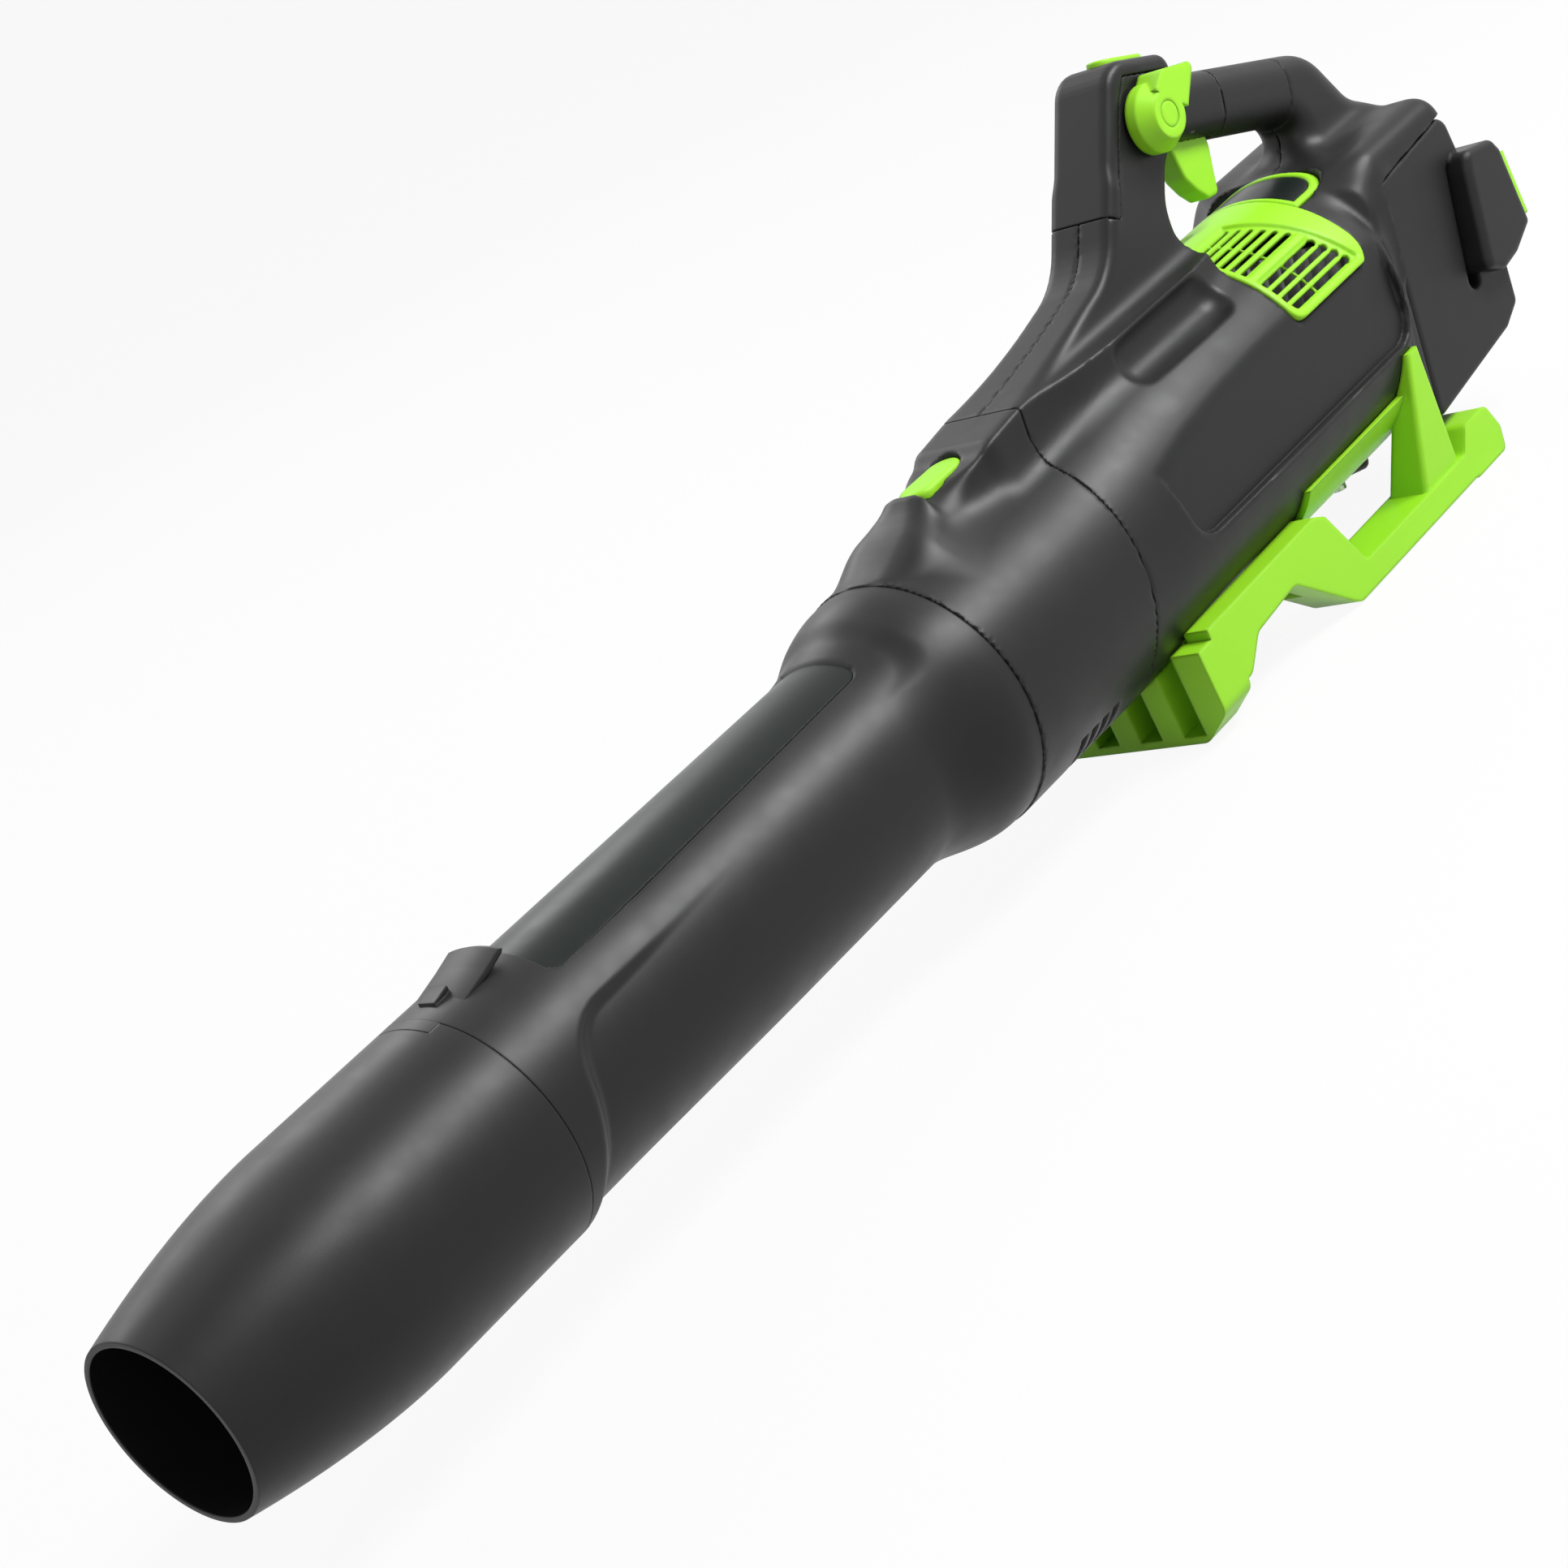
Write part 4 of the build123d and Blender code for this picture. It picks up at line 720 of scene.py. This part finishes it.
def to_frame(points):
    """From millimetres about the tube's axis to the part's frame."""
    return (np.asarray(points) + (-HALF_LENGTH, 0, AXIS_HEIGHT)) * MM


def make_object(name, points, faces, crease=40.0):
    mesh = bpy.data.meshes.new(name)
    mesh.from_pydata(to_frame(points).tolist(), [], faces.tolist())
    mesh.update()
    mesh.shade_smooth()
    mesh.set_sharp_from_angle(angle=math.radians(crease))
    obj = bpy.data.objects.new(name, mesh)
    bpy.context.scene.collection.objects.link(obj)
    return obj


def field_object(name, field, low, high, step=FINE, lean=0.0):
    """A piece from its field; the grid leans so that a leaning joint comes out straight."""
    points, faces = surface_net(field, low, high, step, lean)
    points = settle(field, points)
    return make_object(name, points, faces)


# Tube
def flare(x, low, high):
    """The tube's swelling towards its collar."""
    start = COLLAR_X - FLARE_LENGTH
    end = COLLAR_X - COLLAR_WIDTH
    return low + (high - low) * smooth_step((x - start) / (end - start))


def panel_half(x):
    """Half the panel's width as an angle, a little narrower towards the rear."""
    share = np.clip((x - PANEL_FRONT) / (PANEL_REAR - PANEL_FRONT), 0, 1)
    return np.radians(PANEL_HALF_FRONT + (PANEL_HALF_REAR - PANEL_HALF_FRONT) * share)


def panel_outline(x, arc, grow=0.0):
    """The long panel on top of the tube."""
    ends = slab(x, PANEL_FRONT - grow, PANEL_REAR + grow)
    return soft_max(np.abs(arc) - panel_half(x) * TUBE_R - grow, ends, 9)


def along_panel(x, angles):
    """Angles moved so that the mesh follows the panel's long edges."""
    front = math.radians(PANEL_HALF_FRONT)
    half = panel_half(x)
    beyond = half + (np.abs(angles) - front) * (math.pi - half) / (math.pi - front)
    return np.where(np.abs(angles) < front, angles * half / front, np.sign(angles) * beyond)


def top_outline(x, arc):
    """The raised zone round the panel, with its rounded rear end."""
    half = np.radians(through(x, TOP_STATIONS, TOP_HALF_ANGLES)) * TUBE_R
    return soft_max(np.abs(arc) - half, x - TOP_REAR, 14)


def tube_radius(x, angle):
    """The tube's outside radius; the angle is counted from the top."""
    arc = angle * TUBE_R
    side = flare(x, TUBE_R, COLLAR_R) - 0.9 * (1 - smooth_step((x - 205) / 125))
    top = TUBE_R + 0.7 * (flare(x, TUBE_R, COLLAR_R) - TUBE_R)
    edge = TUBE_FRONT + TUBE_BAND + TUBE_R * np.cos(angle) * math.tan(math.radians(TUBE_BAND_LEAN))
    top = top + (NOZZLE_R - top) * smooth_step((edge - 5 + TOP_RAMP - x) / TOP_RAMP)
    zone = top_outline(x, arc)
    width = 4 + 5 * smooth_step(zone / 15) + 7 * smooth_step((x - 425) / 30)
    zone = soft_min(zone, x - edge, 22)
    r = side + (top - side) * smooth_step(0.5 - zone / width)
    return r + (TUBE_R - PANEL_SINK - r) * smooth_step(0.5 - panel_outline(x, arc, 0.5) / 0.9)


def panel_object():
    """The film in the bed on top of the tube."""
    across = np.linspace(-1, 1, 61)
    xs = np.concatenate([np.linspace(PANEL_FRONT, PANEL_FRONT + 12, 25),
                         np.linspace(PANEL_FRONT + 13, PANEL_REAR - 13, 80),
                         np.linspace(PANEL_REAR - 12, PANEL_REAR, 25)])
    reach = np.linspace(0, 50, 2001)
    rows = []
    for x in xs:
        inside = panel_outline(x, reach) <= 0.02
        half = reach[inside].max() if inside.any() else 8.0
        rows.append(np.stack([np.full(across.shape, x), across * half / TUBE_R], 1))
    flat = np.concatenate(rows)
    layers = []
    for depth in (0.12, 0.6):
        r = TUBE_R - depth
        layers.append(np.stack([flat[:, 0], r * np.sin(flat[:, 1]), r * np.cos(flat[:, 1])], 1))
    m, n = len(xs), len(across)
    under = m * n
    faces = [(i * n + j, (i + 1) * n + j, (i + 1) * n + j + 1, i * n + j + 1)
             for i in range(m - 1) for j in range(n - 1)]
    faces += [tuple(under + v for v in reversed(face)) for face in faces]
    border = [i * n for i in range(m)] + [(m - 1) * n + j for j in range(1, n)]
    border += [i * n + n - 1 for i in range(m - 2, -1, -1)] + [j for j in range(n - 2, 0, -1)]
    faces += [(b, a, under + a, under + b) for a, b in zip(border, border[1:] + border[:1])]
    return make_object("top_panel", np.concatenate(layers), np.array(faces))


def tube_object():
    """The blower tube as a turned wall with shallow beds in it."""
    front_r = NOZZLE_R - NOZZLE_WALL - 0.3
    bore = TUBE_R - NOZZLE_WALL
    inner_r = SPIGOT_R - NOZZLE_WALL
    outer_x = np.concatenate([np.linspace(TUBE_FRONT, TUBE_FRONT + 60, 48),
                              np.linspace(TUBE_FRONT + 61, COLLAR_X, 176)])
    inner_x = np.linspace(COLLAR_X, SPIGOT_FRONT, 24)
    angles = np.linspace(-math.pi, math.pi, 289)[:-1]
    rows = [(SPIGOT_FRONT, front_r), (TUBE_FRONT, front_r)]
    rows += [(x, None) for x in outer_x]
    rows += [(COLLAR_X, SPIGOT_R), (SPIGOT_END, SPIGOT_R), (SPIGOT_END, inner_r)]
    rows += [(x, float(flare(x, bore, inner_r))) for x in inner_x]
    points = []
    for x, r in rows:
        turned = along_panel(x, angles)
        radius = tube_radius(x, turned) if r is None else np.full(angles.shape, r)
        ring = [np.full(angles.shape, x), radius * np.sin(turned), radius * np.cos(turned)]
        points.append(np.stack(ring, 1))
    n = len(angles)
    m = len(rows)
    faces = [(i * n + j, i * n + (j + 1) % n, (i + 1) % m * n + (j + 1) % n, (i + 1) % m * n + j)
             for i in range(m) for j in range(n)]
    return make_object("tube_shell", np.concatenate(points), np.array(faces))


# Materials
def new_material(name):
    material = bpy.data.materials.new(name)
    material.use_nodes = True
    tree = material.node_tree
    return material, tree, tree.nodes["Principled BSDF"]


def add_noise(tree, scale, detail=3.0, rough=0.55):
    coords = tree.nodes.new("ShaderNodeTexCoord")
    noise = tree.nodes.new("ShaderNodeTexNoise")
    noise.inputs["Scale"].default_value = scale
    noise.inputs["Detail"].default_value = detail
    noise.inputs["Roughness"].default_value = rough
    tree.links.new(coords.outputs["Object"], noise.inputs["Vector"])
    return noise


def spread(tree, source, low, high):
    """A value between two limits, led by a noise."""
    step = tree.nodes.new("ShaderNodeMapRange")
    step.inputs["From Min"].default_value = 0.3
    step.inputs["From Max"].default_value = 0.7
    step.inputs["To Min"].default_value = low
    step.inputs["To Max"].default_value = high
    tree.links.new(source.outputs[0], step.inputs["Value"])
    return step


def plastic(name, colour, roughness, grain=0.12, grain_scale=2600.0, shift=0.12, edge=1.2, specular=0.5):
    """Moulded plastic: a fine spark-eroded grain, slight colour drift and softened edges."""
    material, tree, shader = new_material(name)
    drift = add_noise(tree, 9.0, 4.0)
    mix = tree.nodes.new("ShaderNodeMix")
    mix.data_type = "RGBA"
    mix.inputs["A"].default_value = (*[c * (1 - shift) for c in colour], 1)
    mix.inputs["B"].default_value = (*[min(1, c * (1 + shift)) for c in colour], 1)
    tree.links.new(drift.outputs[0], mix.inputs["Factor"])
    tree.links.new(mix.outputs["Result"], shader.inputs["Base Color"])
    fine = add_noise(tree, grain_scale, 2.0)
    patches = add_noise(tree, 60.0, 3.0)
    gloss = spread(tree, patches, roughness - 0.035, roughness + 0.035)
    tree.links.new(gloss.outputs[0], shader.inputs["Roughness"])
    bump = tree.nodes.new("ShaderNodeBump")
    bump.inputs["Strength"].default_value = grain
    bump.inputs["Distance"].default_value = 0.0002
    tree.links.new(fine.outputs[0], bump.inputs["Height"])
    bevel = tree.nodes.new("ShaderNodeBevel")
    bevel.samples = 4
    bevel.inputs["Radius"].default_value = edge * MM
    tree.links.new(bevel.outputs[0], bump.inputs["Normal"])
    tree.links.new(bump.outputs[0], shader.inputs["Normal"])
    shader.inputs["Specular IOR Level"].default_value = specular
    return material


def metal(name, colour, roughness):
    """Bare metal with fine streaks."""
    material, tree, shader = new_material(name)
    shader.inputs["Metallic"].default_value = 1.0
    streaks = add_noise(tree, 400.0, 4.0)
    gloss = spread(tree, streaks, roughness - 0.06, roughness + 0.08)
    tree.links.new(gloss.outputs[0], shader.inputs["Roughness"])
    tint = add_noise(tree, 30.0)
    mix = tree.nodes.new("ShaderNodeMix")
    mix.data_type = "RGBA"
    mix.inputs["A"].default_value = (*[c * 0.85 for c in colour], 1)
    mix.inputs["B"].default_value = (*colour, 1)
    tree.links.new(tint.outputs[0], mix.inputs["Factor"])
    tree.links.new(mix.outputs["Result"], shader.inputs["Base Color"])
    return material


DARK = (0.0105, 0.0105, 0.0107)
charcoal = plastic("charcoal_plastic", DARK, 0.40, specular=0.23)
soft_black = plastic("soft_black", DARK, 0.50, grain=0.35, grain_scale=1500.0, specular=0.25)
lime = plastic("lime_plastic", (0.25, 0.57, 0.018), 0.40, grain=0.05, shift=0.05, edge=2.4, specular=0.25)
panel = plastic("panel_film", (0.007, 0.010, 0.009), 0.32, grain=0.04, specular=0.18)
case_black = plastic("case_plastic", DARK, 0.40, edge=3.0, specular=0.23)
black = plastic("inner_black", (0.010, 0.010, 0.010), 0.5)
steel = metal("zinc_steel", (0.62, 0.62, 0.63), 0.32)
copper = metal("copper_windings", (0.65, 0.33, 0.18), 0.35)
alloy = metal("bare_alloy", (0.80, 0.80, 0.81), 0.38)
brass = metal("bright_brass", (0.83, 0.62, 0.28), 0.25)
wrap = plastic("cell_wrap", (0.04, 0.16, 0.38), 0.35)

BY_SLOT = {
    "charcoal_plastic": charcoal,
    "dark_soft": soft_black,
    "green_plastic": lime,
    "dark_panel": panel,
    "black_plastic": black,
    "steel": steel,
    "copper_stack": copper,
    "aluminium": alloy,
    "brass": brass,
    "cell_wrap": wrap,
}
slot_of = {entry["node"]: entry["material_slot"] for entry in frame["record"]["subparts"]}


def dress(obj, material):
    obj.data.materials.clear()
    obj.data.materials.append(material)


for name, obj in nodes.items():
    dress(obj, BY_SLOT[slot_of[name]])
dress(nodes["battery_case"], case_black)
dress(nodes["trigger_pin"], black)


def stand_for(obj, node, body):
    """Puts a piece in a CAD node's place, with its material."""
    dress(obj, BY_SLOT[slot_of[node]])
    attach(obj, body)
    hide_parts(node)


# Pieces with soft forms
seam_slope = math.tan(math.radians(SEAM_LEAN))
reach = BAY_X + BATTERY_LENGTH + 20
left_half = field_object("housing_shell_left", housing_left_field, (SEAM, -71, -82), (reach, 0, 186),
                         GRID, seam_slope)
right_half = field_object("housing_shell_right", housing_right_field, (SEAM, 0, -82), (reach, 71, 186),
                          GRID, seam_slope)
ring = field_object("ring_shell", ring_field, (RING_FRONT - 16, -66, -66), (SEAM, 66, 86), GRID, seam_slope)
cover = field_object("post_cover_shell", cover_field, (715, -21, 110), (812, 21, 187))
sleeve = field_object("grip_sleeve", sleeve_field, (825, -17, 85), (905, 17, 155))
grille = field_object("grille_shell", grille_field, (GRILLE_FRONT, -66, 34), (GRILLE_REAR, 66, 82))
window_low = (GRILLE_REAR, -36, 66)
window_high = (WINDOW_REAR, 36, 82)
trim = field_object("window_frame", trim_field, window_low, window_high)
pane = field_object("window_glass", pane_field, window_low, window_high)
stand_for(left_half, "housing_left", "housing")
stand_for(right_half, "housing_right", "housing")
stand_for(ring, "front_ring", "housing")
stand_for(cover, "post_cover", "housing")
stand_for(sleeve, "soft_grip", "housing")
stand_for(grille, "intake_grille", "housing")
stand_for(trim, "window_trim", "housing")
stand_for(pane, "window_pane", "housing")
stand_for(tube_object(), "blower_tube", "tube")
stand_for(panel_object(), "tube_panel", "tube")


# Floor, light and camera
WHITE_FOR = ("Is Camera Ray", "Is Glossy Ray", "Is Transmission Ray")


def area_light(name, place, target, size, power):
    """A soft box that faces a point, with its long side along the blower."""
    data = bpy.data.lights.new(name, "AREA")
    data.shape = "RECTANGLE"
    data.size, data.size_y = size
    data.energy = power
    obj = bpy.data.objects.new(name, data)
    away = (Vector(place) - Vector(target)).normalized()
    across = Vector((1, 0, 0)) - away * away.x
    across.normalize()
    turn = Matrix((across, away.cross(across), away)).transposed().to_4x4()
    obj.matrix_world = Matrix.Translation(place) @ turn
    bpy.context.scene.collection.objects.link(obj)


def seen_by(tree, *kinds):
    """Full for the named kinds of rays and none for the rest."""
    path = tree.nodes.new("ShaderNodeLightPath")
    found = path.outputs[kinds[0]]
    for kind in kinds[1:]:
        either = tree.nodes.new("ShaderNodeMath")
        either.operation = "MAXIMUM"
        tree.links.new(found, either.inputs[0])
        tree.links.new(path.outputs[kind], either.inputs[1])
        found = either.outputs[0]
    return found


def make_floor():
    """A pale floor that looks white and still takes a soft shadow."""
    mesh = bpy.data.meshes.new("floor")
    s = 40.0
    mesh.from_pydata([(-s, -s, 0), (s, -s, 0), (s, s, 0), (-s, s, 0)], [], [(0, 1, 2, 3)])
    obj = bpy.data.objects.new("floor", mesh)
    bpy.context.scene.collection.objects.link(obj)
    material, tree, shader = new_material("pale_floor")
    shader.inputs["Base Color"].default_value = (0.6, 0.6, 0.6, 1)
    shader.inputs["Roughness"].default_value = 0.9
    shader.inputs["Specular IOR Level"].default_value = 0.1
    glow = tree.nodes.new("ShaderNodeEmission")
    blend = tree.nodes.new("ShaderNodeMixShader")
    share = tree.nodes.new("ShaderNodeMath")
    share.operation = "MULTIPLY"
    share.inputs[1].default_value = 0.92
    tree.links.new(seen_by(tree, *WHITE_FOR), share.inputs[0])
    tree.links.new(share.outputs[0], blend.inputs["Fac"])
    tree.links.new(shader.outputs[0], blend.inputs[1])
    tree.links.new(glow.outputs[0], blend.inputs[2])
    tree.links.new(blend.outputs[0], tree.nodes["Material Output"].inputs["Surface"])
    dress(obj, material)


def make_world():
    """White where it is seen or mirrored, dimmer as a light."""
    world = bpy.data.worlds.new("studio")
    world.use_nodes = True
    tree = world.node_tree
    sky = tree.nodes["Background"]
    sky.inputs["Color"].default_value = (1, 1, 1, 1)
    sky.inputs["Strength"].default_value = 0.3
    white = tree.nodes.new("ShaderNodeBackground")
    white.inputs["Color"].default_value = (1, 1, 1, 1)
    blend = tree.nodes.new("ShaderNodeMixShader")
    tree.links.new(seen_by(tree, *WHITE_FOR), blend.inputs["Fac"])
    tree.links.new(sky.outputs[0], blend.inputs[1])
    tree.links.new(white.outputs[0], blend.inputs[2])
    tree.links.new(blend.outputs[0], tree.nodes["World Output"].inputs["Surface"])
    bpy.context.scene.world = world


def make_camera():
    """The camera fitted to the photo."""
    right = Vector((0.5716, -0.6923, -0.4404))
    up = Vector((0.5401, -0.0866, 0.8371))
    back = Vector((-0.6177, -0.7164, 0.3244))
    place = Vector((-493.4 - HALF_LENGTH, -1027.1, 484.7 + AXIS_HEIGHT)) * MM
    data = bpy.data.cameras.new("camera")
    data.sensor_width = 36
    data.lens = 78.26
    data.clip_start = 0.05
    obj = bpy.data.objects.new("camera", data)
    turn = Matrix((right, up, back)).transposed().to_4x4()
    obj.matrix_world = Matrix.Translation(place) @ turn
    bpy.context.scene.collection.objects.link(obj)
    bpy.context.scene.camera = obj


make_floor()
make_world()
make_camera()
area_light("key", (0.85, -1.05, 1.47), (-0.08, 0, 0.12), (1.5, 0.55), 56)
area_light("side", (-1.9, -0.9, 1.2), (0, 0, 0.1), (0.8, 1.0), 5)
area_light("top", (-0.3, 0.6, 2.3), (0, 0, 0.1), (1.8, 0.7), 5)
area_light("fill", (0.4, 1.6, 1.3), (0, 0, 0.1), (1.5, 0.8), 14)
bpy.context.scene.view_settings.view_transform = "Standard"
